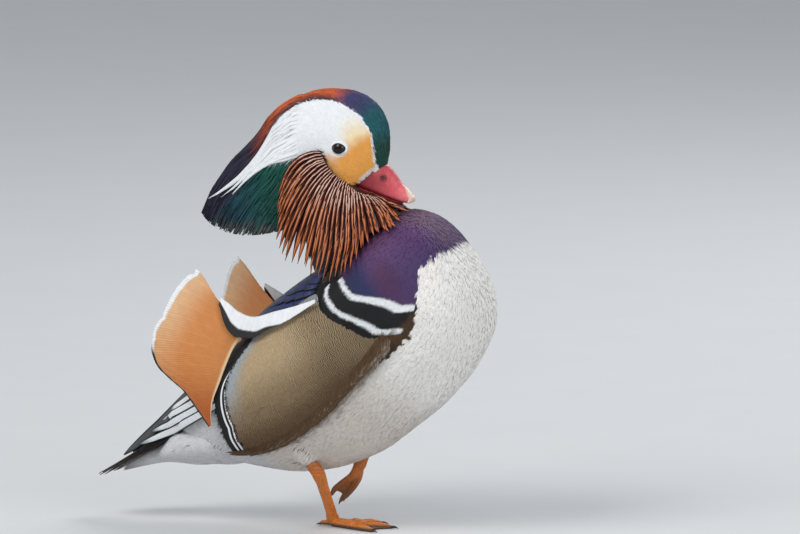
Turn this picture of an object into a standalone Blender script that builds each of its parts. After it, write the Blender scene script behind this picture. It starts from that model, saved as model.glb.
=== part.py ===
"""A still, life-size drake mandarin duck: it stands on its right foot, breast up, head drawn back."""

import math

import bmesh
import bpy
import numpy as np

# Every size below is in millimetres. +X is forward, +Y the bird's left, +Z up.
MM = 0.001
GAP = 0.35  # clear space between two pieces that touch
WELD = 0.003  # points nearer than this after a Boolean are one point

# The body is measured along its own tilted axis: t forward, s to the left, n towards the back.
BODY_TILT = math.radians(38)
BODY_X, BODY_Z = 18, 98
TORSO_RINGS = 16
TORSO_SIDES = 26
BACK_FULLNESS = 3.0
BELLY_FULLNESS = 2.15

# Stations of the torso: t, belly line n, back line n, half width.
TORSO_STATIONS = (
    (-124, 34, 59, 12),
    (-112, 17, 64, 28),
    (-95, -2, 67, 38),
    (-70, -25, 69, 47),
    (-40, -40, 71, 53),
    (-10, -46, 72, 56),
    (25, -46, 72, 57),
    (55, -42, 73, 57),
    (78, -34, 74, 53),
    (90, -28, 74, 46),
    (100, -18, 66, 38),
    (106, -8, 56, 29),
    (109.5, 6, 43, 18),
)
TORSO_FRONT = (111, 24)

# The head and the crest are lens-shaped bodies: a centre, and their outline in the middle plane.
HEAD_CENTRE = (-2, 251)
HEAD_HALF_WIDTH = 17.5
HEAD_OUTLINE = (
    (35.2, 242), (36.4, 254), (36, 264.5), (33, 274), (27.5, 282), (18.5, 288), (7.3, 291),
    (-4, 291.4), (-15, 290), (-26, 286), (-36, 279), (-43, 269), (-46, 257), (-45, 245),
    (-39, 233), (-29, 224), (-15, 216.5), (0, 213.5), (14, 215.5), (24, 221.5), (30.5, 231),
)

# Sections of the neck: height, middle, half length along the bird, half width.
NECK_SECTIONS = (
    (160, 26, 40, 26),
    (180, 20, 40, 27),
    (196, 12, 36, 26),
    (210, 6, 31, 23),
    (224, 2, 27, 19),
    (238, -2, 22, 13),
)

# The bill, in the middle plane: ridge and mouth line from the face to the tip, and half widths.
BILL_RIDGE = ((28, 244), (34.8, 241), (39.5, 236.2), (44.3, 229.8), (49.4, 225.2), (52, 222.2))
BILL_MOUTH = ((12, 229), (18.5, 226.6), (26.5, 223.8), (35.5, 220.9), (44.6, 218.2), (49.4, 217.2))
BILL_HALF_WIDTHS = (8.6, 8.4, 7.6, 6.6, 5.9, 5.2)

EYE_CENTRE = (6.2, 14.0, 253)
EYE_RADIUS = 5.2

# Right leg: path of the tarsus, with half depth and half width.
TARSUS = (
    ((-7.5, 33.5, 45.5), 4.2, 3.4),
    ((-3.2, 31, 39), 4.7, 3.6),
    ((-2.3, 25.5, 31), 4.0, 2.7),
    ((-2.3, 16.5, 20), 3.8, 2.4),
    ((-2.6, 8.2, 10.5), 3.9, 2.6),
    ((-2.8, 4.2, 6.1), 4.6, 3.4),
)
FOOT_ROOT = (-2.8, 3.4)
TOES = (("middle", 3, 43), ("inner", 35, 35), ("outer", -28, 41))
HIND_TOE = 11
WEB_THICKNESS = 1.4

# The lifted left foot: paths of its toes from the ankle to the claw tip, and half depth and width along them.
LIFTED_TOES = (
    ((8, 18, 40), (4, 15.5, 32), (-3, 14, 26.5), (-8, 13.5, 22.5), (-10.5, 13.5, 18.5)),
    ((8, 18, 40), (6, 18.5, 30), (1.5, 19, 23), (-3, 19, 18), (-6, 19, 14)),
    ((8, 18, 40), (6, 21.5, 31), (2, 23.5, 24), (-2, 24, 19), (-4.5, 24, 15.5)),
)
LIFTED_TOE_SIZES = ((3.4, 3.2), (2.7, 2.4), (2.3, 2.1), (1.9, 1.7), (0.5, 0.5))
LIFTED_ANKLE = (((10, 18.4, 43.5), 4.0, 3.4), ((8, 18, 39), 4.4, 3.8), ((6.4, 17.8, 36), 3.2, 3))
LIFTED_TARSUS = (((10.22, 18.44, 43.98), 3.8, 3.0), ((12, 18.8, 48), 3.8, 3.0), ((16, 19.6, 57), 4, 3.2))

SAIL_SHAFT = ((-52, 39, 131),(-58.5, 43, 119.4), (-65.4, 46, 99.6), (-70.7, 47, 82.9), (-71.6, 46, 70))
SAIL_RIM = (
    (-85.9, 38, 171.7), (-93.6, 44, 164.1), (-99.1, 50, 153.9), (-103.3, 54, 142.9),
    (-108.9, 56, 131.6), (-110.3, 56, 121.5), (-107.1, 55, 110.2), (-98.7, 53, 101),
    (-89.6, 51, 93.2), (-80.2, 48, 80), (-72.6, 46.4, 69),
)
BAND_TOP = ((4.7, 58, 157.6), (-11, 56, 152), (-25, 54, 148), (-42.3, 50, 143.4), (-53.2, 45, 145.5),
            (-61, 42.5, 150.2), (-67.6, 41.5, 153.8))
BAND_LOW = ((4.9, 58.5, 155.6), (-17.6, 58.5, 141.4), (-30.3, 57, 135.8), (-41.9, 54, 129.6),
            (-53.5, 49.5, 129.2), (-61.3, 46.5, 133.9), (-68.5, 43, 149.5))

# A feather is a row of flat sections: how far along each one lies, and its share of the full width.
ROUNDED = ((0, 0.4, 0.82, 1), (0.2, 1, 0.84, 0.36))
POINTED = ((0, 0.3, 0.66, 1), (0.3, 0.95, 0.85, 0))
HACKLE = ((0, 0.3, 0.66, 1), (0.3, 0.6, 1, 0))
QUILL = ((0, 0.45, 0.84, 1), (0.8, 1, 0.8, 0.3))
RISEN_BY = 0.25  # share of a feather's length by which it has risen to its full height
VANE_THICKNESS = 0.9
LOCK_THICKNESS = 1.1
SEED = 11

# The crest: its top and bottom edges in the middle plane from root to tip, and its half width along them.
CREST_TOP = ((-14, 287), (-26, 286), (-37.4, 280.5), (-48.7, 270.5), (-56.5, 259), (-67.7, 247.4),
             (-75.5, 240), (-82.2, 231), (-91, 218), (-97, 204.5))
CREST_LOW = ((-26, 220), (-29, 212), (-34, 203), (-40, 194.5))
CREST_BOW = (-6, -8)
CREST_HALF = ((0, 0.2, 0.5, 0.8, 1), (15, 14.5, 11, 6.5, 3.2))
CREST_CORE_END = 0.46
CREST_LOCKS = 9
CREST_WIDTH = 6.9
# Layers of the crest: root and tip as shares of the way, lift at the root and beyond.
CREST_LAYERS = ((0.3, 1.0, -0.95, -0.62), (0.2, 0.78, -1.0, 0.66))
PLUME = ((70, 0.22, 80, 0.9), (86, 0.16, 94, 1.0), (103, 0.2, 108, 0.88))
PLUME_WIDTH = 6.0

# The ruff: the line its feathers grow from and the line of their tips, from the rear round to the throat.
RUFF_ROOT = ((-5.8, 17, 251), (-2, 18, 243.4), (4.4, 18, 235.7), (12, 16, 229.8), (20, 12, 224), (29, 7, 219))
RUFF_TIPS = ((-35, 20, 219.6), (-35, 26, 203), (-31, 28, 178), (-15, 30, 170), (1.8, 34, 167),
             (21.6, 42, 169.5), (36, 44, 190), (42.6, 42, 198.3), (46.5, 36, 205), (47, 24, 214.5))
RUFF_CLEAR = 3.2
RUFF_CLEAR_LOW, RUFF_LOW_FROM = 7.2, 194
RUFF_SMOOTHING = 12
RUFF_PAD_END = 0.15
RUFF_PAD_HALF = 1.3
# Layers of the ruff: feathers, root and tip as shares of the way, lift at root and tip, width.
RUFF_LAYERS = (
    (13, 0.08, 1.0, -0.4, 0.0, 8.8),
    (12, 0.06, 0.8, 0.1, 1.38, 7.9),
    (4, 0.04, 0.56, 0.5, 2.7, 8.0),
)

# The flank's front and rear borders on the torso: t and angle.
FLANK_FRONT = ((25, 52), (22.5, 66), (30, 83), (42, 94), (51, 100))
FLANK_REAR = ((-33, 45), (-51, 54), (-66, 62), (-74, 71), (-81, 86), (-86, 101), (-88, 119))
FLANK_LIFT = 3.1
PAD_CLEAR, PAD_EDGE = 1.9, 0.7  # how high a pad's edge stands off the torso, and how thick it is there
# Rows of flank feathers: where their tips lie from front to rear, how many, length share and width.
FLANK_ROWS = ((0.4, 3, 0.26, 18), (0.68, 4, 0.3, 17.5), (0.96, 5, 0.3, 16))

# The shoulder feathers' upper and lower borders on the torso, from front to rear: t and angle.
SHOULDER_TOP = ((39, 29), (28, 19), (8, 12), (-12, 11), (-38, 13))
SHOULDER_LOW = ((24, 45), (12, 44), (-4, 43), (-20, 40), (-40, 35))
SHOULDER_LIFT = 2.4
SHOULDER_ROWS = ((0.38, 2, 0.3), (0.68, 3, 0.32), (0.97, 3, 0.32))
SHOULDER_WIDTH = 10.6

# Folded flight feathers: count, first root and tip as t, n, steps from one to the next, and their outer face.
QUILLS = 5
QUILL_ROOT, QUILL_ROOT_STEP = (-78, 60), (-0.5, -3.3)
QUILL_TIP, QUILL_TIP_STEP = (-150, 60.5), (7.5, -1.5)
QUILL_WIDTH = 7.5
QUILL_LIFT, QUILL_LIFT_STEP = 2.9, 1.1
WING_LINE = ((-155, -126, -112, -98, -60), (7, 14, 21, 27, 30))

# The tail's root: t, low n, high n, half width.
TAIL_STATIONS = ((-108, 42, 57, 16), (-122, 44, 58, 14), (-136, 47, 57, 12), (-146, 49.5, 55, 8))
# Tail feathers on each side of the middle, their length, and their spread and drop from one to the next.
TAIL_FEATHERS = 5
TAIL_START, TAIL_LENGTH, TAIL_SHORTER = -126, 64, 0.55
TAIL_WIDTH = 10
TAIL_ROOT_OUT, TAIL_ROOT_STEP = 3.2, 1.8
TAIL_TIP_OUT, TAIL_TIP_STEP = 5.3, 4.9
TAIL_HEIGHT, TAIL_RISE = 53.6, 6
TAIL_DROP = 0.95
TAIL_SLOPE = 0.13
TAIL_THICKNESS = 0.6
# Coverts over the tail's root: tip t, angles, length, width.
TAIL_COVERTS = ((-133, (-50, 0, 50), 13, 9), (-145, (-28, 28), 15, 8))

# The soft body below the tail, and rows of its coverts: tip t, feathers, length, width.
VENT_STATIONS = ((-92, 3, 30, 27), (-104, 7, 40, 33), (-117, 16, 43, 29), (-127, 22.5, 43, 24),
                 (-138, 32, 43, 17), (-147, 38.5, 43, 9))
VENT_ROWS = ((-115, 3, 17, 15), (-131, 3, 17, 11), (-147, 2, 17, 7.5))
VENT_SPREAD, VENT_SPREAD_STEP = 56, 10

LID_RADII = (5.9, 5.1)
LID_THICKNESS = 0.95
NOSTRIL = (33.4, 7.0, 233.2)
NOSTRIL_RADII = (2.5, 1.3, 1.0)

SAIL_ROWS, SAIL_COLUMNS = 16, 6
SAIL_OUT = 4.5  # how far the sail's lower end stands further out, over the folded wing
RAGGED = (2.6, -0.6, 1.6, -1.2, 0.9, -0.8, -3.4, 1.0, -0.7, 0.8, -0.6, 0.6, -0.4, 0.3, 0, 0)
TOP_RAGGED = (0, 0.6, -0.4, 2.0, -0.8, 0)

COLOURS = {
    "torso": (0.16, 0.05, 0.12),
    "neck": (0.25, 0.07, 0.03),
    "head": (0.8, 0.78, 0.72),
    "crest": (0.02, 0.1, 0.09),
    "ruff": (0.42, 0.13, 0.04),
    "bill": (0.72, 0.16, 0.17),
    "nail": (0.82, 0.66, 0.52),
    "eye": (0.01, 0.008, 0.006),
    "flank": (0.47, 0.36, 0.18),
    "scapular": (0.03, 0.04, 0.16),
    "band": (0.85, 0.86, 0.88),
    "sail": (0.78, 0.34, 0.09),
    "wing": (0.55, 0.62, 0.62),
    "tail": (0.08, 0.07, 0.065),
    "vent": (0.62, 0.61, 0.6),
    "leg": (0.75, 0.29, 0.04),
}


class Curve:
    """A smooth line through given values that never swings past them."""

    def __init__(self, places, values):
        self.places = np.array(places, float)
        self.values = np.array(values, float)
        slopes = np.diff(self.values) / np.diff(self.places)
        self.tangents = np.zeros(len(self.places))
        self.tangents[0], self.tangents[-1] = slopes[0], slopes[-1]
        for i in range(1, len(slopes)):
            before, after = slopes[i - 1], slopes[i]
            if before * after > 0:
                self.tangents[i] = 2 * before * after / (before + after)

    def __call__(self, place):
        at = np.clip(place, self.places[0], self.places[-1])
        i = np.clip(np.searchsorted(self.places, at) - 1, 0, len(self.places) - 2)
        step = self.places[i + 1] - self.places[i]
        u = (at - self.places[i]) / step
        start = (1 + 2 * u) * (1 - u) ** 2 * self.values[i] + u * (1 - u) ** 2 * step * self.tangents[i]
        end = u * u * (3 - 2 * u) * self.values[i + 1] + u * u * (u - 1) * step * self.tangents[i + 1]
        return start + end


def smooth_path(points, count):
    """Evenly spaced points along a smooth line through the given ones."""
    points = np.array(points, float)
    lengths = np.linalg.norm(np.diff(points, axis=0), axis=1)
    places = np.concatenate([[0], np.cumsum(lengths)])
    at = np.linspace(0, places[-1], count)
    return np.stack([Curve(places, column)(at) for column in points.T], axis=1)


def unit(vector):
    vector = np.array(vector, float)
    return vector / np.maximum(np.linalg.norm(vector, axis=-1, keepdims=True), 1e-9)


def body_to_world(t, s, n):
    """A point of the tilted body frame in the bird's own frame."""
    x = BODY_X + t * math.cos(BODY_TILT) - n * math.sin(BODY_TILT)
    z = BODY_Z + t * math.sin(BODY_TILT) + n * math.cos(BODY_TILT)
    return np.stack(np.broadcast_arrays(x, s, z), axis=-1)


def world_to_body(x, z):
    """How far along (t) and how high (n) in the body frame a place lies."""
    dx, dz = x - BODY_X, z - BODY_Z
    along = dx * math.cos(BODY_TILT) + dz * math.sin(BODY_TILT)
    height = dz * math.cos(BODY_TILT) - dx * math.sin(BODY_TILT)
    return along, height


STATION_T = [station[0] for station in TORSO_STATIONS]
BELLY_LINE = Curve(STATION_T, [station[1] for station in TORSO_STATIONS])
BACK_LINE = Curve(STATION_T, [station[2] for station in TORSO_STATIONS])
TORSO_HALF = Curve(STATION_T, [station[3] for station in TORSO_STATIONS])


def torso_point(t, angle):
    """A point of the torso's surface: angle 0 is the back, 90 degrees the right side, 180 the belly."""
    middle = (BACK_LINE(t) + BELLY_LINE(t)) / 2
    height = (BACK_LINE(t) - BELLY_LINE(t)) / 2
    sine, cosine = np.sin(angle), np.cos(angle)
    power = np.where(cosine > 0, 2 / BACK_FULLNESS, 2 / BELLY_FULLNESS)
    s = -TORSO_HALF(t) * np.sign(sine) * np.abs(sine) ** power
    n = middle + height * np.sign(cosine) * np.abs(cosine) ** power
    return body_to_world(t, s, n)


def lifted_point(t, angle, lift):
    """A point that far outside the torso's surface."""
    step_t, step_angle = 1.0, math.radians(1.0)
    along = torso_point(t + step_t, angle) - torso_point(t - step_t, angle)
    around = torso_point(t, angle + step_angle) - torso_point(t, angle - step_angle)
    outward = unit(np.cross(around, along))
    return torso_point(t, angle) + outward * np.asarray(lift)[..., None]


def torso_reach(x, z):
    """Half width of the torso at a place of the side view, or 0 outside it."""
    t, n = world_to_body(x, z)
    middle = (BACK_LINE(t) + BELLY_LINE(t)) / 2
    height = (BACK_LINE(t) - BELLY_LINE(t)) / 2
    share = np.abs(n - middle) / height
    power = np.where(n > middle, BACK_FULLNESS, BELLY_FULLNESS)
    inside = np.clip(1 - share**power, 0, 1) ** (1 / power)
    return np.where((t > STATION_T[0]) & (t < STATION_T[-1]), TORSO_HALF(t) * inside, 0)


def material_for(colour, roughness):
    name = f"{colour} finish"
    found = bpy.data.materials.get(name)
    if found:
        return found
    made = bpy.data.materials.new(name)
    made.use_nodes = True
    shader = made.node_tree.nodes["Principled BSDF"]
    shader.inputs["Base Color"].default_value = (*COLOURS[colour], 1)
    shader.inputs["Roughness"].default_value = roughness
    shader.inputs["Metallic"].default_value = 0
    return made


def solid(name, points, faces, colour="torso", roughness=0.7):
    """A closed mesh object, its faces turned outwards."""
    mesh = bpy.data.meshes.new(name)
    mesh.from_pydata([tuple(p) for p in np.asarray(points, float) * MM], [], faces)
    made = bpy.data.objects.new(name, mesh)
    bpy.context.scene.collection.objects.link(made)
    shape = bmesh.new()
    shape.from_mesh(mesh)
    bmesh.ops.recalc_face_normals(shape, faces=shape.faces)
    if shape.calc_volume(signed=True) < 0:
        bmesh.ops.reverse_faces(shape, faces=shape.faces)
    shape.to_mesh(mesh)
    shape.free()
    mesh.materials.append(material_for(colour, roughness))
    mesh.shade_smooth()
    return made


def mirrored(points):
    """The same points on the bird's other side."""
    return np.asarray(points, float) * (1, -1, 1)


def loft(name, rings, start=None, end=None, **look):
    """A skin over closed rings of points; start and end are the points that close its two ends."""
    rings = np.asarray(rings, float)
    count, sides = rings.shape[:2]
    points = list(rings.reshape(-1, 3))
    faces = []
    for i in range(count - 1):
        for j in range(sides):
            k = (j + 1) % sides
            faces.append((i * sides + j, i * sides + k, (i + 1) * sides + k, (i + 1) * sides + j))
    for end_point, first in ((start, 0), (end, (count - 1) * sides)):
        ring = list(range(first, first + sides))
        if end_point is None:
            faces.append(ring)
            continue
        points.append(np.array(end_point, float))
        for j in range(sides):
            faces.append((ring[j], ring[(j + 1) % sides], len(points) - 1))
    return solid(name, points, faces, **look)


def slab(name, front, back, **look):
    """A closed sheet between two grids of points, split into triangles alike on both faces."""
    front, back = np.asarray(front, float), np.asarray(back, float)
    rows, columns = front.shape[:2]
    points = np.concatenate([front.reshape(-1, 3), back.reshape(-1, 3)])
    offset = rows * columns
    faces = []

    def at(i, j):
        return i * columns + j

    for i in range(rows - 1):
        for j in range(columns - 1):
            corners = at(i, j), at(i, j + 1), at(i + 1, j + 1), at(i + 1, j)
            for a, b, c in ((0, 1, 2), (0, 2, 3)):
                faces.append((corners[a], corners[b], corners[c]))
                faces.append((offset + corners[c], offset + corners[b], offset + corners[a]))
    border = [at(0, j) for j in range(columns)] + [at(i, columns - 1) for i in range(1, rows)]
    border += [at(rows - 1, j) for j in range(columns - 2, -1, -1)]
    border += [at(i, 0) for i in range(rows - 2, 0, -1)]
    for a, b in zip(border, border[1:] + border[:1]):
        faces.append((a, b, offset + b))
        faces.append((a, offset + b, offset + a))
    return solid(name, points, faces, **look)


def sheet(name, middle, thickness, **look):
    """A slab of the given thickness on both sides of a grid of points."""
    middle = np.asarray(middle, float)
    down = np.gradient(middle, axis=0)
    across = np.gradient(middle, axis=1)
    offset = unit(np.cross(down, across)) * np.broadcast_to(thickness, middle.shape[:2])[..., None] / 2
    return slab(name, middle + offset, middle - offset, **look)


def between(edge_a, edge_b, rows, columns, bulge=(0, 0, 0)):
    """A grid of points from one smooth edge across to another, swelled by bulge in the middle."""
    first, last = smooth_path(edge_a, rows), smooth_path(edge_b, rows)
    across = np.linspace(0, 1, columns)[None, :, None]
    along = np.linspace(0, 1, rows)[:, None, None]
    swell = np.sin(math.pi * across) * np.sin(math.pi * np.clip(along, 0.08, 0.92))
    return first[:, None] * (1 - across) + last[:, None] * across + swell * np.array(bulge, float)


def lens(name, centre, outline, half_width, rings, count, sharpness=2.6, **look):
    """A body with a given outline in the middle plane, thickest near its centre."""
    outline = np.array(outline, float)
    closed = np.vstack([outline, outline[:1]])
    rim = smooth_path(np.column_stack([closed[:, 0], np.zeros(len(closed)), closed[:, 1]]), count + 1)[:-1]
    centre = np.array([centre[0], 0, centre[1]], float)
    shares = np.sin(np.linspace(0, math.pi / 2, rings + 1))
    layers = []
    for side in (-1, 1):
        for share in shares[1:-1] if side < 0 else shares[-1:0:-1]:
            ring = centre + (rim - centre) * share
            depth = (1 - share**sharpness) ** 0.5
            ring[:, 1] = side * depth * half_width(ring[:, 0], ring[:, 2])
            layers.append(ring)
    start = centre + (0, -float(half_width(centre[0], centre[2])), 0)
    end = centre + (0, float(half_width(centre[0], centre[2])), 0)
    return loft(name, layers, start, end, **look)


class Draped:
    """A surface through a grid of points, with a smooth face to lift things from."""

    def __init__(self, grid, outward):
        self.grid = np.asarray(grid, float)
        down, across = np.gradient(self.grid, axis=0), np.gradient(self.grid, axis=1)
        self.normals = unit(np.cross(down, across))
        self.normals *= np.sign((self.normals * outward).sum(axis=-1).mean())

    def __call__(self, place, lift):
        rows, columns = self.grid.shape[:2]
        at = np.clip(place[0], 0, 1) * (rows - 1)
        over = np.clip(place[1], 0, 1) * (columns - 1)
        i, j = min(int(at), rows - 2), min(int(over), columns - 2)
        a, b = at - i, over - j
        mixed = []
        for values in (self.grid, self.normals):
            near = values[i, j] * (1 - b) + values[i, j + 1] * b
            far = values[i + 1, j] * (1 - b) + values[i + 1, j + 1] * b
            mixed.append(near * (1 - a) + far * a)
        return mixed[0] + unit(mixed[1]) * lift


def feather(name, surface, root, tip, width, lifts, shape=ROUNDED, thickness=VANE_THICKNESS, bend=0.0,
            tilt=0.0, **look):
    """A flat tapered feather that lies along a surface, from one place on it to another."""
    shares, widths = shape
    root, tip = np.array(root, float), np.array(tip, float)
    sideways = np.array([-(tip - root)[1], (tip - root)[0]])
    centres, ups = [], []
    for share in shares:
        place = root + (tip - root) * share + sideways * bend * math.sin(math.pi * share)
        lift = lifts[0] + (lifts[1] - lifts[0]) * min(share / RISEN_BY, 1)
        centres.append(surface(place, lift))
        ups.append(unit(surface(place, lift + 1) - centres[-1]))
    rings = []
    for i, (centre, up, wide) in enumerate(zip(centres, ups, widths)):
        ahead = unit(centres[min(i + 1, len(centres) - 1)] - centres[max(i - 1, 0)])
        side = unit(np.cross(ahead, up))
        rise = np.cross(side, ahead)
        side, rise = side * math.cos(tilt) + rise * math.sin(tilt), rise * math.cos(tilt) - side * math.sin(tilt)
        half, thick = side * wide * width / 2, rise * thickness / 2
        if widths[-1] == 0:
            rings.append([centre - half, centre + thick, centre + half, centre - thick])
        else:
            rings.append([centre - half - thick, centre - half + thick, centre + half + thick, centre + half - thick])
    end = None
    if widths[-1] == 0:
        end = rings.pop()[0]
    return strip(name, np.array(rings), end, **look)


def strip(name, rings, end, **look):
    """A closed strip over four-cornered sections, its two faces split into triangles alike."""
    points = list(rings.reshape(-1, 3))
    faces = [(0, 1, 2), (0, 2, 3)]
    for i in range(len(rings) - 1):
        for j in range(4):
            a, b = 4 * i + j, 4 * i + (j + 1) % 4
            c, d = b + 4, a + 4
            faces += [(a, b, c), (a, c, d)] if j < 2 else [(a, b, d), (b, c, d)]
    last = 4 * (len(rings) - 1)
    if end is None:
        faces += [(last, last + 1, last + 2), (last, last + 2, last + 3)]
    else:
        points.append(end)
        faces += [(last + j, last + (j + 1) % 4, len(points) - 1) for j in range(4)]
    return solid(name, points, faces, **look)


def copy_of(shape, grow):
    """A copy of a solid, its surface moved out by grow."""
    made = bpy.data.objects.new(f"{shape.name} grown", shape.data.copy())
    bpy.context.scene.collection.objects.link(made)
    mesh = made.data
    places = np.array([tuple(v.co) for v in mesh.vertices])
    normals = np.array([tuple(n.vector) for n in mesh.vertex_normals])
    mesh.vertices.foreach_set("co", (places + normals * grow * MM).ravel())
    mesh.update()
    return made


def remove(shapes):
    for shape in shapes:
        mesh = shape.data
        bpy.data.objects.remove(shape)
        bpy.data.meshes.remove(mesh)


def combine(shape, others, operation, solver="EXACT"):
    """One Boolean on a collection of closed shapes, applied, with those shapes removed."""
    group = bpy.data.collections.new("pieces")
    bpy.context.scene.collection.children.link(group)
    for other in others:
        group.objects.link(other)
        bpy.context.scene.collection.objects.unlink(other)
    modifier = shape.modifiers.new("join", "BOOLEAN")
    modifier.operation = operation
    modifier.operand_type = "COLLECTION"
    modifier.collection = group
    modifier.solver = solver
    graph = bpy.context.evaluated_depsgraph_get()
    mesh = bpy.data.meshes.new_from_object(shape.evaluated_get(graph))
    shape.modifiers.clear()
    old = shape.data
    shape.data = mesh
    bpy.data.meshes.remove(old)
    mesh.name = shape.name
    remove(others)
    bpy.data.collections.remove(group)
    keep_largest(shape)
    return shape


def keep_largest(shape):
    """Leaves only the largest closed surface of a solid."""
    work = bmesh.new()
    work.from_mesh(shape.data)
    left = set(work.faces)
    parts = []
    while left:
        found = [left.pop()]
        for face in found:
            for edge in face.edges:
                for other in edge.link_faces:
                    if other in left:
                        left.discard(other)
                        found.append(other)
        parts.append(found)
    parts.sort(key=lambda faces: sum(face.calc_area() for face in faces))
    loose = [face for faces in parts[:-1] for face in faces]
    bmesh.ops.delete(work, geom=loose, context="FACES")
    bmesh.ops.delete(work, geom=[v for v in work.verts if not v.link_faces], context="VERTS")
    bmesh.ops.remove_doubles(work, verts=work.verts, dist=WELD * MM)
    bmesh.ops.dissolve_degenerate(work, edges=work.edges, dist=WELD * MM)
    work.to_mesh(shape.data)
    work.free()


def cut_clear(shape, *others):
    """Cuts a solid back so that it keeps the gap to each of the others."""
    return combine(shape, [copy_of(other, GAP) for other in others], "DIFFERENCE")


def on_both_sides(make):
    """Makes a piece for the right side (side -1) and its mirror image for the left (side 1)."""
    return [make(-1, "right"), make(1, "left")]


def torso():
    even = np.linspace(0, 1, TORSO_RINGS)
    share = (even + np.sin(even * math.pi / 2)) / 2
    places = STATION_T[0] + (STATION_T[-1] - STATION_T[0]) * share
    angles = np.linspace(0, 2 * math.pi, TORSO_SIDES, endpoint=False)
    rings = [torso_point(t, angles) for t in places]
    tail_end = body_to_world(STATION_T[0] - 3, 0, 46)
    front_end = body_to_world(TORSO_FRONT[0], 0, TORSO_FRONT[1])
    return loft("torso", rings, tail_end, front_end, colour="torso")


def neck(torso_shape, head_shape):
    sides, count = 24, 8
    heights = [section[0] for section in NECK_SECTIONS]
    columns = [Curve(heights, [section[i] for section in NECK_SECTIONS]) for i in (1, 2, 3)]
    angles = np.linspace(0, 2 * math.pi, sides, endpoint=False)
    rings = []
    for z in np.linspace(heights[0], heights[-1], count):
        middle, half_length, half_width = (column(z) for column in columns)
        x = middle + half_length * np.cos(angles)
        rings.append(np.column_stack([x, half_width * np.sin(angles), np.full(sides, z)]))
    made = loft("neck", rings, colour="neck")
    return cut_clear(made, torso_shape, head_shape)


def head_half_width(x, z):
    """Half width of the head: fullest at the cheeks, narrower towards the crown and the bill."""
    crown = np.clip((np.asarray(z, float) - 262) / 30, 0, 1)
    front = np.clip((np.asarray(x, float) - 12) / 26, 0, 1)
    return HEAD_HALF_WIDTH * (1 - 0.16 * crown) * (1 - 0.2 * front)


def lid(name, side):
    """The ring of the eyelids: an oval hoop round the eye, a little lower in front."""
    centre = np.array(EYE_CENTRE, float) * (1, side, 1) + (0, side * 3.2, 0)
    turns = 12
    around = np.linspace(0, 2 * math.pi, turns, endpoint=False)
    across = np.linspace(0, 2 * math.pi, 4, endpoint=False)
    points = []
    for angle in around:
        out = np.array([math.cos(angle), 0, math.sin(angle)])
        middle = centre + out * (LID_RADII[0], 0, LID_RADII[1])
        points += [middle + LID_THICKNESS * (math.cos(a) * out + math.sin(a) * np.array([0, 1, 0])) for a in across]
    faces = []
    for i in range(turns):
        for j in range(4):
            near, far = 4 * i, 4 * ((i + 1) % turns)
            faces.append((near + j, near + (j + 1) % 4, far + (j + 1) % 4, far + j))
    return solid(name, points, faces, colour="head")


def head_form(name):
    return lens(name, HEAD_CENTRE, HEAD_OUTLINE, head_half_width, 6, 26, colour="head")


def head():
    made = head_form("head")
    combine(made, [lid(f"lid {side}", side) for side in (-1, 1)], "UNION")
    sockets = [ball(f"socket {side}", EYE_CENTRE, side, EYE_RADIUS + GAP, "head") for side in (-1, 1)]
    return combine(made, sockets, "DIFFERENCE")


def ball(name, centre, side, radius, colour):
    """A ball, or an egg shape if radius holds three half sizes."""
    centre = np.array(centre) * (1, side, 1)
    radii = np.ones(3) * radius
    turns, rings = 12 if radii[1] > 2 else 8, []
    angles = np.linspace(0, 2 * math.pi, turns, endpoint=False)
    for lift in np.linspace(-math.pi / 2, math.pi / 2, 7)[1:-1]:
        ring = np.column_stack([
            np.cos(angles) * math.cos(lift), np.full(turns, math.sin(lift)), np.sin(angles) * math.cos(lift)])
        rings.append(centre + radii * ring)
    ends = (centre - (0, radii[1], 0), centre + (0, radii[1], 0))
    return loft(name, rings, *ends, colour=colour, roughness=0.15)


def crest_point(angle, share):
    """A point of the crest's surface: angle 0 is its top edge, 90 degrees the right side."""
    top = [Curve(np.linspace(0, 1, len(CREST_TOP)), column)(share) for column in zip(*CREST_TOP)]
    low = [Curve(np.linspace(0, 1, len(CREST_LOW)), column)(share) for column in zip(*CREST_LOW)]
    mix = (1 - np.cos(angle)) / 2
    bow = 4 * mix * (1 - mix) * share**2
    x, z = (a * (1 - mix) + b * mix + bow * most for a, b, most in zip(top, low, CREST_BOW))
    return np.stack(np.broadcast_arrays(x, -Curve(*CREST_HALF)(share) * np.sin(angle), z), axis=-1)


def crest_angle(share):
    """The angle at an even share of the way round the right side, measured on the surface half way back."""
    angles = np.linspace(0, math.pi, 60)
    steps = np.linalg.norm(np.diff(crest_point(angles, 0.6), axis=0), axis=1)
    return math.degrees(np.interp(share * steps.sum(), np.concatenate([[0], np.cumsum(steps)]), angles))


def crest_surface(place, lift):
    angle, share = math.radians(place[0]), place[1]
    around = crest_point(angle + 0.02, share) - crest_point(angle - 0.02, share)
    along = crest_point(angle, share + 0.01) - crest_point(angle, share - 0.01)
    return crest_point(angle, share) + unit(np.cross(along, around)) * lift


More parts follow.
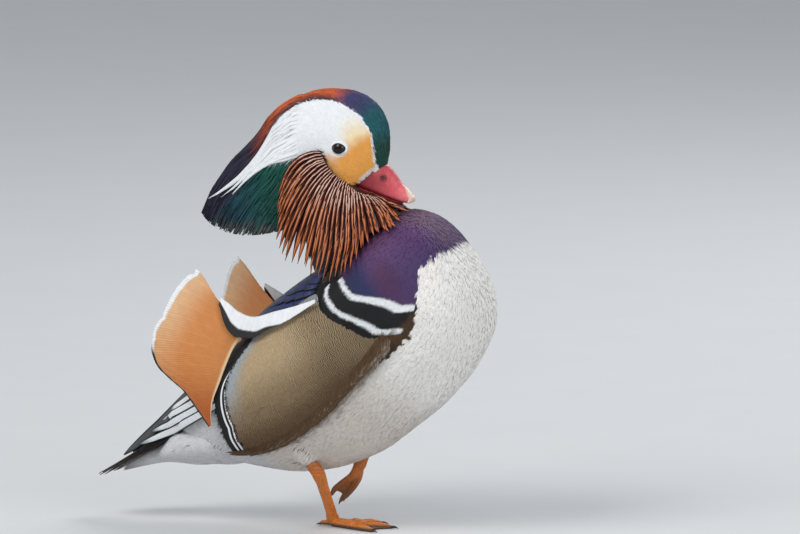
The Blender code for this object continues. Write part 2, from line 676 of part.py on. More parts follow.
def crest(head_shape):
    """A core that reaches less than half way, and long pointed locks laid back from it."""
    angles = np.linspace(0, 2 * math.pi, 18, endpoint=False)
    rings = [crest_point(angles, share) for share in np.linspace(0, CREST_CORE_END, 5)]
    end = crest_point(angles, CREST_CORE_END)
    rings.append(end.mean(axis=0) + (end - end.mean(axis=0)) * 0.7 + (-3, 0, -4))
    core = loft("crest", rings, colour="crest")
    rng = np.random.default_rng(SEED)
    locks = []
    for side in (1, -1):
        for layer, (start, stop, low, high) in enumerate(CREST_LAYERS):
            for i in range(CREST_LOCKS - layer):
                angle = side * crest_angle((i + 0.5 + 0.5 * layer + rng.uniform(-0.06, 0.06)) / CREST_LOCKS)
                tip = (angle + rng.uniform(-1, 1), stop - rng.uniform(0, 0.06))
                locks.append(feather(f"lock {len(locks)}", crest_surface, (angle, start), tip, CREST_WIDTH,
                                     (low, high), POINTED, LOCK_THICKNESS))
        for angle, start, tip_angle, stop in PLUME:
            locks.append(feather(f"lock {len(locks)}", crest_surface, (side * angle, start),
                                 (side * tip_angle, stop), PLUME_WIDTH, (0, 1.9), POINTED, LOCK_THICKNESS))
    return cut_clear(combine(core, locks, "UNION"), head_shape)


def bill_rings(ridge, mouth, half_widths, sides):
    """Half-round sections standing on the mouth line."""
    angles = np.linspace(0, math.pi, sides)
    rings = []
    for top, bottom, half_width in zip(ridge, mouth, half_widths):
        up = np.array([top[0] - bottom[0], 0, top[1] - bottom[1]])
        base = np.array([bottom[0], 0, bottom[1]])
        ring = [base + up * math.sin(a) ** 0.8 + np.array([0, half_width * math.cos(a), 0]) for a in angles]
        rings.append(ring)
    return rings


def bill(head_shape, neck_shape):
    count = 9
    ridge = smooth_path([(x, 0, z) for x, z in BILL_RIDGE], count)[:, [0, 2]]
    mouth = smooth_path([(x, 0, z) for x, z in BILL_MOUTH], count)[:, [0, 2]]
    widths = Curve(np.linspace(0, 1, len(BILL_HALF_WIDTHS)), BILL_HALF_WIDTHS)(np.linspace(0, 1, count))
    upper = loft("bill_upper", bill_rings(ridge, mouth, widths, 11), colour="bill", roughness=0.35)
    low = [(x - 0.4, z - 0.5) for x, z in mouth]
    under = [(x - 1.5, z - drop) for (x, z), drop in zip(mouth, np.linspace(6, 1.8, count))]
    lower_rings = bill_rings(under, low, widths - 0.9, 9)
    lower = loft("bill_lower", lower_rings[:-1], colour="bill", roughness=0.35)
    tip = (ridge[-1], mouth[-1])
    nail_rings = []
    for step in np.linspace(0.08, 1, 4):
        shrink = math.sqrt(1 - 0.93 * step * step)
        forward = np.array([0.85, -0.4]) * (3.2 * step + 0.15)
        middle = (np.array(tip[0]) + tip[1]) / 2 + forward
        top = middle + (np.array(tip[0]) - tip[1]) / 2 * shrink
        bottom = middle + (np.array(tip[1]) - tip[0]) / 2 * shrink
        nail_rings.append(bill_rings([top], [bottom], [widths[-1] * shrink], 11)[0])
    nail = loft("bill_nail", nail_rings, colour="nail", roughness=0.35)
    cut_clear(upper, head_shape, neck_shape)
    pits = [ball(f"nostril {side}", NOSTRIL, side, NOSTRIL_RADII, "bill") for side in (-1, 1)]
    combine(upper, pits, "DIFFERENCE")
    cut_clear(lower, head_shape, neck_shape)
    return upper, lower, nail


def neck_reach(x, z):
    """Half width of the neck at a place of the side view, or 0 outside it."""
    heights = [section[0] for section in NECK_SECTIONS]
    middle, half_length, half_width = (Curve(heights, [s[i] for s in NECK_SECTIONS])(z) for i in (1, 2, 3))
    inside = np.clip(1 - ((x - middle) / half_length) ** 2, 0, 1) ** 0.5
    return np.where((z > heights[0]) & (z < heights[-1]), half_width * inside, 0)


def head_reach(x, z):
    """Half width of the head at a place of the side view, or 0 outside it."""
    closed = np.array(HEAD_OUTLINE + HEAD_OUTLINE[:1], float) - HEAD_CENTRE
    angles = np.unwrap(np.arctan2(closed[:, 1], closed[:, 0]))
    radii = np.hypot(closed[:, 0], closed[:, 1])
    order = np.argsort(angles)
    dx, dz = x - HEAD_CENTRE[0], z - HEAD_CENTRE[1]
    angle = np.arctan2(dz, dx)
    low = angles[order][0]
    angle = (angle - low) % (2 * math.pi) + low
    rim = np.interp(angle, angles[order], radii[order])
    share = np.clip(np.hypot(dx, dz) / rim, 0, 1)
    return head_half_width(x, z) * (1 - share**2.6) ** 0.5


def body_reach(x, z):
    """Half width of torso, neck and head together at a place of the side view."""
    x, z = np.asarray(x, float), np.asarray(z, float)
    return np.maximum(np.maximum(torso_reach(x, z), neck_reach(x, z)), head_reach(x, z))


def ruff(side, side_name):
    """Three layers of pointed hackles that fan out from the cheek over a short pad."""
    grid = between(RUFF_ROOT, RUFF_TIPS, 28, 16)
    low = np.clip((RUFF_LOW_FROM - grid[..., 2]) / 14, 0, 1)
    clear = RUFF_CLEAR + (RUFF_CLEAR_LOW - RUFF_CLEAR) * low
    grid[..., 1] = np.maximum(body_reach(grid[..., 0], grid[..., 2]) + clear, grid[..., 1])
    for _ in range(RUFF_SMOOTHING):
        inner = grid[1:-1, 1:-1, 1]
        around = grid[:-2, 1:-1, 1] + grid[2:, 1:-1, 1] + grid[1:-1, :-2, 1] + grid[1:-1, 2:, 1]
        grid[1:-1, 1:-1, 1] = np.maximum(inner, around / 4)
    surface = Draped(grid * (1, side, 1), (0, side, 0))
    rng = np.random.default_rng(SEED + 1)
    rows, columns = 11, 3
    middle = [[(u, v) for v in np.linspace(0.02, RUFF_PAD_END, columns)] for u in np.linspace(0.01, 0.99, rows)]
    half = RUFF_PAD_HALF * np.linspace(1, 0.85, columns)
    front = [[surface(p, h) for p, h in zip(row, half)] for row in middle]
    back = [[surface(p, -h) for p, h in zip(row, half)] for row in middle]
    pad = slab(f"ruff_{side_name}", front, back, colour="ruff")
    hackles = []
    for layer, (count, start, stop, low, high, width) in enumerate(RUFF_LAYERS):
        for i in range(count):
            u = (i + (1 if layer == 1 else 0.5) + rng.uniform(-0.06, 0.06)) / (count + (layer == 1))
            tip = (u + rng.uniform(-0.004, 0.004), stop - rng.uniform(0, 0.06))
            hackles.append(feather(f"hackle {len(hackles)}", surface, (u, start), tip, width, (low, high),
                                   HACKLE, LOCK_THICKNESS))
    return combine(pad, hackles, "UNION")


def pad_swell(u, v):
    """How full a pad is at a place: 0 at its edges, 1 in the middle."""
    along = math.sin(math.pi * min(max(u, 0.02), 0.98))
    across = math.sin(math.pi * min(max(v, 0.03), 0.97))
    return (along * across) ** 0.4


def pad_between(first_line, second_line, thickness, side):
    """A swelling on the torso between two lines of (t, angle): its surface, thinning out to all its edges."""
    count = 24
    first = smooth_path([(t, a, 0) for t, a in first_line], count)[:, :2]
    second = smooth_path([(t, a, 0) for t, a in second_line], count)[:, :2]
    at = np.linspace(0, 1, count)

    def surface(place, lift):
        u, v = place
        low = np.array([np.interp(u, at, first[:, k]) for k in (0, 1)])
        high = np.array([np.interp(u, at, second[:, k]) for k in (0, 1)])
        t, angle = low * (1 - v) + high * v
        point = lifted_point(t, math.radians(angle), PAD_CLEAR + thickness * pad_swell(u, v) + lift)
        return point * (1, -side, 1)

    return surface


def pad_slab(name, surface, thickness, rows, columns, **look):
    """The pad itself: it fills the swelling down to a little above the torso."""
    outer = [[surface((u, v), 0) for v in np.linspace(0, 1, columns)] for u in np.linspace(0, 1, rows)]
    inner = []
    for i, u in enumerate(np.linspace(0, 1, rows)):
        row = []
        for j, v in enumerate(np.linspace(0, 1, columns)):
            down = surface((u, v), -1) - outer[i][j]
            row.append(outer[i][j] + down * (PAD_EDGE + thickness * pad_swell(u, v)))
        inner.append(row)
    return slab(name, outer, inner, **look)


def flank(side, side_name):
    """A full pad under overlapping barred feathers in rows that point to the rear."""
    surface = pad_between(FLANK_FRONT, FLANK_REAR, FLANK_LIFT, side)
    pad = pad_slab(f"flank_{side_name}", surface, FLANK_LIFT, 8, 6, colour="flank")
    rng = np.random.default_rng(SEED + 2)
    vanes = []
    for row, (stop, count, length, width) in enumerate(FLANK_ROWS):
        for i in range(count):
            u = (i + 0.5 + 0.22 * (-1 if row % 2 else 1)) / count
            u = min(max(u, 0.12), 0.94)
            end = stop - rng.uniform(0, 0.02)
            vanes.append(feather(f"vane {len(vanes)}", surface, (u, end - length), (u, end), width,
                                 (-0.9, 0.6)))
    return combine(pad, vanes, "UNION")


def scapulars(side, side_name):
    """Rounded shoulder feathers in rows over a thin pad."""
    surface = pad_between(SHOULDER_TOP, SHOULDER_LOW, SHOULDER_LIFT, side)
    pad = pad_slab(f"scapulars_{side_name}", surface, SHOULDER_LIFT, 6, 4, colour="scapular")
    rng = np.random.default_rng(SEED + 3)
    vanes = []
    for row, (stop, count, length) in enumerate(SHOULDER_ROWS):
        for i in range(count):
            v = (i + 0.5 + 0.14 * (1 if row % 2 else -1)) / count
            end = stop - rng.uniform(0, 0.02)
            vanes.append(feather(f"vane {len(vanes)}", surface, (end - length, v), (end, v),
                                 SHOULDER_WIDTH, (-0.9, 0.6)))
    return combine(pad, vanes, "UNION")


def band(side, side_name):
    grid = between(BAND_TOP, BAND_LOW, 12, 3)
    made = grid * (1, side, 1)
    return sheet(f"band_{side_name}", made, 1.0, colour="band")


def sail(side, side_name):
    """The raised tertial: one stiff vane with a thick shaft, ribbed by its barbs, ragged along its rim."""
    grid = between(SAIL_SHAFT, SAIL_RIM, SAIL_ROWS, SAIL_COLUMNS, bulge=(0, 3, 0))
    outward = unit(grid[:, -1] - grid[:, -2])
    grid[:, -1] += outward * np.array(RAGGED)[:, None]
    upward = unit(grid[0] - grid[1])
    grid[0] += upward * np.array(TOP_RAGGED)[:, None]
    grid[..., 1] += SAIL_OUT * np.linspace(0, 1, SAIL_ROWS)[:, None]
    thickness = np.linspace(1.3, 0.8, SAIL_COLUMNS)[None, :] * np.ones((SAIL_ROWS, 1))
    thickness[::2, 1:] -= 0.25
    thickness[:, 0] = 2.0
    return sheet(f"sail_{side_name}", grid * (1, side, 1), thickness, colour="sail")


def wing_surface(side):
    line = Curve(*WING_LINE)

    def point(t, n):
        world = body_to_world(t, 0, n)
        return body_to_world(t, side * max(float(line(t)), float(torso_reach(world[0], world[2]))), n)

    def surface(place, lift):
        t, n = place
        outward = unit(np.cross(point(t + 2, n) - point(t - 2, n), point(t, n + 3) - point(t, n - 3)))
        outward = outward * np.sign(outward[1] * side)
        return point(t, n) + outward * lift

    return surface


def wing(side, side_name):
    """The folded flight feathers, stacked edge over edge and joined at their roots."""
    surface = wing_surface(side)
    quills = []
    for i in range(QUILLS):
        root = np.array(QUILL_ROOT) + np.array(QUILL_ROOT_STEP) * i
        tip = np.array(QUILL_TIP) + np.array(QUILL_TIP_STEP) * i
        lift = QUILL_LIFT + QUILL_LIFT_STEP * i
        quills.append(feather(f"quill {i}", surface, root, tip, QUILL_WIDTH, (lift, lift), QUILL))
    first, last = np.array(QUILL_ROOT), np.array(QUILL_ROOT) + np.array(QUILL_ROOT_STEP) * (QUILLS - 1)
    rings = []
    for t_step in (1.5, -1.5, -6):
        corners = ((0, 3.2, QUILL_LIFT - 0.5), (0, 3.2, QUILL_LIFT + 0.6), (1, -3.2, QUILL_LIFT + 0.6),
                   (1, -3.2, QUILL_LIFT - 0.5))
        ring = []
        for share, over, lift in corners:
            t, n = first * (1 - share) + last * share
            ring.append(surface((t + t_step, n + over), lift + share * QUILL_LIFT_STEP * (QUILLS - 1)))
        rings.append(ring)
    base = strip(f"wing_{side_name}", np.array(rings), None, colour="wing")
    return combine(base, quills, "UNION")


def oval_rings(stations, sides):
    """Oval sections of the body frame: t, low n, high n, half width."""
    angles = np.linspace(0, 2 * math.pi, sides, endpoint=False)
    return [body_to_world(t, half_width * np.sin(angles), (low + high) / 2 + (high - low) / 2 * np.cos(angles))
            for t, low, high, half_width in stations]


def oval_surface(stations):
    """The same ovals as a surface: places on it are t and angle, 180 degrees being the lowest line."""
    places = [station[0] for station in stations][::-1]
    low, high, half = (Curve(places, [station[k] for station in stations][::-1]) for k in (1, 2, 3))

    def point(t, angle):
        n = (low(t) + high(t)) / 2 + (high(t) - low(t)) / 2 * math.cos(angle)
        return body_to_world(t, -half(t) * math.sin(angle), n)

    def surface(place, lift):
        t, angle = place[0], math.radians(place[1])
        along = point(t + 1, angle) - point(t - 1, angle)
        around = point(t, angle + 0.02) - point(t, angle - 0.02)
        return point(t, angle) + unit(np.cross(around, along)) * lift

    return surface


def tail(torso_shape):
    """Stiff tail feathers in a low roof, the middle pair on top, with short coverts over their roots."""
    made = loft("tail", oval_rings(TAIL_STATIONS, 12), colour="tail")
    pieces = []

    def plane(place, lift):
        t, s = place
        along = min(max((TAIL_START - t) / TAIL_LENGTH, 0), 1)
        n = TAIL_HEIGHT + TAIL_RISE * along**1.5 - abs(s) * TAIL_SLOPE
        tilt = TAIL_SLOPE * np.sign(s)
        return body_to_world(t, s + lift * math.sin(tilt), n + lift * math.cos(tilt))

    for side in (-1, 1):
        for i in range(TAIL_FEATHERS):
            root = (TAIL_START, side * (TAIL_ROOT_OUT + TAIL_ROOT_STEP * i))
            tip = (TAIL_START - TAIL_LENGTH + TAIL_SHORTER * i * i, side * (TAIL_TIP_OUT + TAIL_TIP_STEP * i))
            drop = -TAIL_DROP * i
            pieces.append(feather(f"tail {side} {i}", plane, root, tip, TAIL_WIDTH, (drop, drop), QUILL,
                                  TAIL_THICKNESS))
    top = oval_surface(TAIL_STATIONS)
    for stop, places, length, width in TAIL_COVERTS:
        for angle in places:
            pieces.append(feather(f"covert {len(pieces)}", top, (stop + length, angle), (stop, angle), width,
                                  (-0.8, 0.9)))
    return cut_clear(combine(made, pieces, "UNION"), torso_shape)


def vent(torso_shape, tail_shape):
    """The soft coverts below the tail: a core and rows of rounded feathers."""
    made = loft("undertail", oval_rings(VENT_STATIONS, 14), colour="vent")
    surface = oval_surface(VENT_STATIONS)
    vanes = []
    for row, (stop, count, length, width) in enumerate(VENT_ROWS):
        spread = VENT_SPREAD - VENT_SPREAD_STEP * row
        for angle in np.linspace(180 - spread, 180 + spread, count):
            vanes.append(feather(f"vane {len(vanes)}", surface, (stop + length, angle), (stop, angle), width,
                                 (-0.9, 0.6)))
    return cut_clear(combine(made, vanes, "UNION"), torso_shape, tail_shape)


def tube(name, path, sides=12, **look):
    """Oval rings along a path of (place, half depth, half width)."""
    angles = np.linspace(0, 2 * math.pi, sides, endpoint=False)
    places = np.array([p for p, _, _ in path], float)
    rings = []
    for i, (place, depth, width) in enumerate(path):
        ahead = unit(places[min(i + 1, len(path) - 1)] - places[max(i - 1, 0)])
        forward = unit(np.cross((0, 1, 0), ahead))
        sideways = unit(np.cross(ahead, forward))
        ring = np.cos(angles)[:, None] * depth * forward + np.sin(angles)[:, None] * width * sideways
        rings.append(np.array(place) + ring)
    return loft(name, rings, **look)


def right_leg(torso_shape):
    path = [(np.array(p) * (1, -1, 1), depth, width) for p, depth, width in TARSUS]
    leg = tube("tarsus_right", path, colour="leg", roughness=0.5)
    top = np.array(TARSUS[0][0], float) * (1, -1, 1)
    up = unit(np.array([-0.5, -0.05, 0.86]))
    thigh_path = [(top + up * (GAP + lift), depth, width)
                  for lift, depth, width in ((0, 4.8, 4.4), (4, 7.5, 6.5), (10, 11, 8.5), (20, 14, 9))]
    thigh = cut_clear(tube("thigh_right", thigh_path, colour="vent"), torso_shape)
    cut_clear(leg, torso_shape, thigh)
    return leg, thigh


def foot_outline():
    """The sole's outline, from the outer side of the heel round the toes and the webs."""
    root = np.array([FOOT_ROOT[0], -FOOT_ROOT[1]], float)
    order = [toe for name in ("outer", "middle", "inner") for toe in TOES if toe[0] == name]
    points = [root + (-4.5, -3.2)]
    ends = []
    for _, angle, length in order:
        direction = np.array([math.cos(math.radians(angle)), math.sin(math.radians(angle))])
        ends.append((root + direction * length, direction))
    for i, (end, direction) in enumerate(ends):
        side = np.array([direction[1], -direction[0]])
        points += [end + side * 1.9 - direction * 3, end + direction * 0, end - side * 1.9 - direction * 3]
        if i + 1 < len(ends):
            other, other_direction = ends[i + 1]
            middle = (end + other) / 2 - (direction + other_direction) * 5.5
            points.append(middle)
    points.append(root + (-4.5, 3.2))
    return points


def toe_ridge(name, start, direction, length, bottom):
    """A toe's raised back: a tapered ridge with a pointed claw end."""
    side = np.array([-direction[1], direction[0], 0])
    ahead = np.array([direction[0], direction[1], 0])
    rings = []
    for share, width, height in ((0, 3.4, 5.2), (0.3, 2.8, 4.3), (0.42, 3.1, 4.6), (0.7, 2.3, 3.6),
                                 (0.88, 1.8, 3.1), (0.9, 1.2, 2.8)):
        middle = np.array([start[0], start[1], bottom]) + ahead * length * share
        rings.append([middle - side * width, middle - side * width * 0.75 + (0, 0, height * 0.6),
                      middle + (0, 0, height), middle + side * width * 0.75 + (0, 0, height * 0.6),
                      middle + side * width])
    claw_tip = np.array([start[0], start[1], bottom + 0.1]) + ahead * (length + 4.5)
    return loft(name, rings, None, claw_tip, colour="leg")


def right_foot():
    outline = foot_outline()
    count = len(outline)
    points = [(x, y, z) for z in (0, WEB_THICKNESS) for x, y in outline]
    faces = [list(range(count))[::-1], list(range(count, 2 * count))]
    faces += [(i, (i + 1) % count, count + (i + 1) % count, count + i) for i in range(count)]
    foot = solid("foot_right", points, faces, colour="leg", roughness=0.5)
    root = np.array([FOOT_ROOT[0], -FOOT_ROOT[1]], float)
    pieces = []
    for name, angle, length in TOES:
        direction = (math.cos(math.radians(angle)), math.sin(math.radians(angle)))
        pieces.append(toe_ridge(f"toe {name}", root, direction, length, 0.3))
    pieces.append(toe_ridge("toe hind", root, (-0.97, 0.2), HIND_TOE, 0.3))
    return combine(foot, pieces, "UNION")


def left_foot(torso_shape):
    """The lifted foot: toes hang close together below the belly."""
    paths = [[(place, *sizes) for place, sizes in zip(places, LIFTED_TOE_SIZES)] for places in LIFTED_TOES]
    toes = [tube(f"toe {i}", path, sides=7, colour="leg", roughness=0.5) for i, path in enumerate(paths)]
    webs = []
    for a, b in ((0, 1), (1, 2)):
        grid = between(LIFTED_TOES[a][:-1], LIFTED_TOES[b][:-1], 5, 3, bulge=(-1.5, 0, 1.5))
        webs.append(sheet(f"web {a}", grid[1:], 1.0, colour="leg"))
    foot = combine(tube("foot_left", LIFTED_ANKLE, colour="leg", roughness=0.5), toes + webs, "UNION")
    leg = tube("tarsus_left", LIFTED_TARSUS, colour="leg", roughness=0.5)
    cut_clear(foot, torso_shape)
    cut_clear(leg, torso_shape)
    return foot, leg


def stand_on_origin():
    """Moves the whole bird so that the middle of its box stands on the origin."""
    shapes = [obj for obj in bpy.context.scene.objects if obj.type == "MESH"]
    corners = np.array([tuple(v.co) for obj in shapes for v in obj.data.vertices])
    low, high = corners.min(axis=0), corners.max(axis=0)
    shift = (-(low[0] + high[0]) / 2, -(low[1] + high[1]) / 2, -low[2])
    for obj in shapes:
        for vertex in obj.data.vertices:
            vertex.co.x += shift[0]
            vertex.co.y += shift[1]
            vertex.co.z += shift[2]


def main():
    for obj in list(bpy.data.objects):
        bpy.data.objects.remove(obj)
    torso_shape = torso()
    head()
    head_shape = head_form("head form")
    neck_shape = neck(torso_shape, head_shape)
    crest(head_shape)
    bill(head_shape, neck_shape)
    remove([head_shape])
    for side, name in ((-1, "right"), (1, "left")):
        ball(f"eye_{name}", EYE_CENTRE, side, EYE_RADIUS, "eye")
    on_both_sides(ruff)
    on_both_sides(flank)
    on_both_sides(scapulars)
    on_both_sides(band)
    on_both_sides(sail)
    on_both_sides(wing)
    tail_shape = tail(torso_shape)
    vent(torso_shape, tail_shape)
    tarsus_shape, _ = right_leg(torso_shape)
    cut_clear(tarsus_shape, right_foot())
    left_foot(torso_shape)
    stand_on_origin()


if __name__ == "__main__":
    main()
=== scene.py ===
"""The looks of a still, life-size drake mandarin duck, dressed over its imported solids."""

import math

import bmesh
import bpy
import numpy as np
from mathutils import Matrix, Vector
from mathutils.bvhtree import BVHTree
from mathutils.kdtree import KDTree


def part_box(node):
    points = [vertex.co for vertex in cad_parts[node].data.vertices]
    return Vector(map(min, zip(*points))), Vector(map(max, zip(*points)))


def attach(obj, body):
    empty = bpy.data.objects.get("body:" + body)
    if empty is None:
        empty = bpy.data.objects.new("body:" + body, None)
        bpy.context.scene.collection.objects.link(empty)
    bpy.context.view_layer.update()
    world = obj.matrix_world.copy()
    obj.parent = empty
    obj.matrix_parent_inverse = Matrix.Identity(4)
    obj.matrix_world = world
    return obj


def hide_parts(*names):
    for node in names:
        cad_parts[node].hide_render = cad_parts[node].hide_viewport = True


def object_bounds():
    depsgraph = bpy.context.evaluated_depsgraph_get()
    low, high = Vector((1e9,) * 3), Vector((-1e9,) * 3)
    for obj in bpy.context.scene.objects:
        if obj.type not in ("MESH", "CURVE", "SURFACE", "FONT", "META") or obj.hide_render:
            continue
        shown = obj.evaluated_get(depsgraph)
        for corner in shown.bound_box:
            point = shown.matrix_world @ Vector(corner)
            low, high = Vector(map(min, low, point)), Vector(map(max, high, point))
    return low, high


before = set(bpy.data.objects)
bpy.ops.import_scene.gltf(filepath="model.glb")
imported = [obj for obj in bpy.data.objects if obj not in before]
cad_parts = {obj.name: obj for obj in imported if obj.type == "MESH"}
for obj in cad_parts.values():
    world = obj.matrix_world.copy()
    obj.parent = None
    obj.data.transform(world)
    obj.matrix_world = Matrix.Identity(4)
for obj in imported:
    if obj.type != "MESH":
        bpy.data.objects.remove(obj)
CAD_LOW, CAD_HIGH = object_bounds()

# Shapes are worked out in millimetres in the bird's own frame: +X forward, +Y its left, +Z up.
EYE = (6.2, 14.0, 253)
EYE_RADIUS = 5.2
EYE_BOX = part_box("eye_right")
SHIFT = np.array([(EYE_BOX[0].x + EYE_BOX[1].x) * 500 - EYE[0], 0, 0])
SEED = 5

BODY_TILT = math.radians(38)
BODY_X, BODY_Z = 18, 98
BACK_FULLNESS, BELLY_FULLNESS = 3.0, 2.15
# Stations of the torso: t, belly line n, back line n, half width.
TORSO_STATIONS = (
    (-124, 34, 59, 12), (-112, 17, 64, 28), (-95, -2, 67, 38), (-70, -25, 69, 47), (-40, -40, 71, 53),
    (-10, -46, 72, 56), (25, -46, 72, 57), (55, -42, 73, 57), (78, -34, 74, 53), (90, -28, 74, 46),
    (100, -18, 66, 38), (106, -8, 56, 29), (109.5, 6, 43, 18),
)
TORSO_FRONT = (111, 24)
HEAD_CENTRE = (-2, 251)
HEAD_HALF_WIDTH = 17.5
HEAD_OUTLINE = (
    (35.2, 242), (36.4, 254), (36, 264.5), (33, 274), (27.5, 282), (18.5, 288), (7.3, 291),
    (-4, 291.4), (-15, 290), (-26, 286), (-36, 279), (-43, 269), (-46, 257), (-45, 245),
    (-39, 233), (-29, 224), (-15, 216.5), (0, 213.5), (14, 215.5), (24, 221.5), (30.5, 231),
)
NECK_SECTIONS = (
    (160, 26, 40, 26), (180, 20, 40, 27), (196, 12, 36, 26), (210, 6, 31, 23), (224, 2, 27, 19), (238, -2, 22, 13),
)
CREST_TOP = ((-14, 287), (-26, 286), (-37.4, 280.5), (-48.7, 270.5), (-56.5, 259), (-67.7, 247.4),
             (-75.5, 240), (-82.2, 231), (-91, 218), (-97, 204.5))
CREST_LOW = ((-26, 220), (-29, 212), (-34, 203), (-40, 194.5))
CREST_BOW = (-6, -8)
CREST_HALF = ((0, 0.2, 0.5, 0.8, 1), (15, 14.5, 11, 6.5, 3.2))
RUFF_ROOT = ((-5.8, 17, 251), (-2, 18, 243.4), (4.4, 18, 235.7), (12, 16, 229.8), (20, 12, 224), (29, 7, 219))
RUFF_TIPS = ((-35, 20, 219.6), (-35, 26, 203), (-31, 28, 178), (-15, 30, 170), (1.8, 34, 167),
             (21.6, 42, 169.5), (36, 44, 190), (42.6, 42, 198.3), (46.5, 36, 205), (47, 24, 214.5))
FLANK_FRONT = ((25, 52), (22.5, 66), (30, 83), (42, 94), (51, 100))
FLANK_REAR = ((-33, 45), (-51, 54), (-66, 62), (-74, 71), (-81, 86), (-86, 101), (-88, 119))
SHOULDER_TOP = ((39, 29), (28, 19), (8, 12), (-12, 11), (-38, 13))
SHOULDER_LOW = ((24, 45), (12, 44), (-4, 43), (-20, 40), (-40, 35))
SAIL_SHAFT = ((-52, 39, 131), (-58.5, 43, 119.4), (-65.4, 46, 99.6), (-70.7, 47, 82.9), (-71.6, 46, 70))
SAIL_RIM = (
    (-85.9, 38, 171.7), (-93.6, 44, 164.1), (-99.1, 50, 153.9), (-103.3, 54, 142.9),
    (-108.9, 56, 131.6), (-110.3, 56, 121.5), (-107.1, 55, 110.2), (-98.7, 53, 101),
    (-89.6, 51, 93.2), (-80.2, 48, 80), (-72.6, 46.4, 69),
)
SAIL_OUT = 4.5
BAND_TOP = ((4.7, 58, 157.6), (-11, 56, 152), (-25, 54, 148), (-42.3, 50, 143.4), (-53.2, 45, 145.5),
            (-61, 42.5, 150.2), (-67.6, 41.5, 153.8))
BAND_LOW = ((4.9, 58.5, 155.6), (-17.6, 58.5, 141.4), (-30.3, 57, 135.8), (-41.9, 54, 129.6),
            (-53.5, 49.5, 129.2), (-61.3, 46.5, 133.9), (-68.5, 43, 149.5))
BILL_RIDGE = ((28, 244), (34.8, 241), (39.5, 236.2), (44.3, 229.8), (49.4, 225.2), (52, 222.2))
BILL_MOUTH = ((12, 229), (18.5, 226.6), (26.5, 223.8), (35.5, 220.9), (44.6, 218.2), (49.4, 217.2))
BILL_HALF_WIDTHS = (8.6, 8.4, 7.6, 6.6, 5.9, 5.2)
NOSTRIL = (33.4, 7.0, 233.2)
VENT_STATIONS = ((-92, 3, 30, 27), (-104, 7, 40, 33), (-117, 16, 43, 29), (-127, 22.5, 43, 24),
                 (-138, 32, 43, 17), (-147, 38.5, 43, 9))
TAIL_STATIONS = ((-108, 42, 57, 16), (-122, 44, 58, 14), (-136, 47, 57, 12), (-146, 49.5, 55, 8))

# Markings of the head in the side view: x and z along each line.
WHITE_TOP = ((30.5, 239), (29.1, 242.4), (28.0, 253.7), (26.5, 263.2), (22.8, 268.9), (18.8, 274.1), (11.6, 279.1),
             (3.4, 282.5), (-4.7, 283.8), (-12.7, 283.6), (-20.7, 281.7), (-29.7, 277.6), (-36.2, 272.1),
             (-41.7, 265.5), (-44.8, 259.1), (-48.8, 251.5), (-52.9, 244.9), (-60.0, 237.1), (-68.5, 230.1),
             (-80.7, 220.8), (-90.1, 214.9))
WHITE_LOW = ((-0.9, 252.7), (-8.7, 250.8), (-16.7, 247.7), (-22.7, 244.7), (-30.0, 242.6), (-39.3, 241.6),
             (-46.6, 239.0), (-53.8, 234.3), (-62.4, 227.4), (-72.2, 217.5))
CHEEK_LOW = ((-4.2, 252.7), (-5.0, 245.7), (-2.9, 240.4), (2.7, 234.2), (8.4, 231.1), (14.4, 228.5), (20, 226))

# Where the feathers end round the bill, from its top to the corner of the mouth and under it.
BILL_BASE = ((31.5, 245), (29.1, 242.4), (25.6, 237.6), (19.5, 231.2), (14.5, 228.2), (17, 224), (24, 219))

# Markings of the torso: t and angle, 0 on the back and 90 degrees on the side.
UPPER_BAR = ((44.5, 50), (45.5, 67), (57, 81), (76, 97))
LOWER_BAR = ((34, 46), (30, 56), (31, 68), (39, 82), (50, 93), (61, 101))
BLACK_REAR = ((27, 44), (25, 52), (22, 66), (30, 83), (42, 93), (54, 101))
# Lower edge of the coloured sides: t and n.
BELLY_EDGE = ((-124, 36), (-106, 26), (-94, 8), (-82, -6), (-67, -9.6), (-35, -5.6), (3, -3.8), (37, -4), (63, -2.4), (76, 9), (95, 30),
              (111, 32))


def rgb(red, green, blue):
    """A colour given as on a screen, 0 to 255, in the renderer's own linear values."""
    values = np.array([red, green, blue], float) / 255
    return np.where(values <= 0.04045, values / 12.92, ((values + 0.055) / 1.055) ** 2.4)


WHITE = rgb(226, 229, 232)
CREAM = rgb(236, 218, 180)
ORANGE = rgb(224, 156, 72)
RUFOUS = rgb(196, 88, 36)
RUFOUS_DARK = rgb(104, 36, 22)
CROWN_BLUE = rgb(46, 44, 92)
CROWN_TEAL = rgb(0, 84, 92)
CROWN_GREEN = rgb(0, 62, 48)
CREST_REAR = rgb(26, 24, 50)
CREST_GREEN = rgb(0, 78, 66)
CREST_TEAL = rgb(0, 58, 70)
FRINGE = rgb(104, 102, 100)
HACKLE = rgb(132, 56, 24)
# Painted shade: the dark of the gaps between the hackles, also laid on the skin under the ruff.
RUFF_GAP_SHADE = rgb(70, 26, 14)
HACKLE_SHAFT = rgb(240, 222, 206)
HACKLE_MIDDLE = rgb(222, 158, 116)
HACKLE_TIP = rgb(212, 122, 66)
PURPLE = rgb(84, 54, 98)
MAROON = rgb(78, 34, 62)
BREAST_BLUE = rgb(38, 42, 84)
BLACK = rgb(18, 18, 22)
MANTLE = rgb(46, 44, 36)
SHOULDER_BLUE = rgb(28, 40, 92)
BELLY = rgb(230, 227, 222)
# Painted shade: the greyer tone of the belly's underside, more towards the rear.
BELLY_SHADE_GREY = rgb(198, 188, 178)
TAN = rgb(172, 150, 116)
FLANK_BROWN = rgb(84, 60, 36)
FLANK_GREY = rgb(142, 154, 162)
SAIL_ORANGE = rgb(200, 128, 68)
SAIL_DEEP = rgb(166, 84, 28)
VENT_GREY = rgb(200, 200, 202)
TAIL_BROWN = rgb(56, 49, 46)


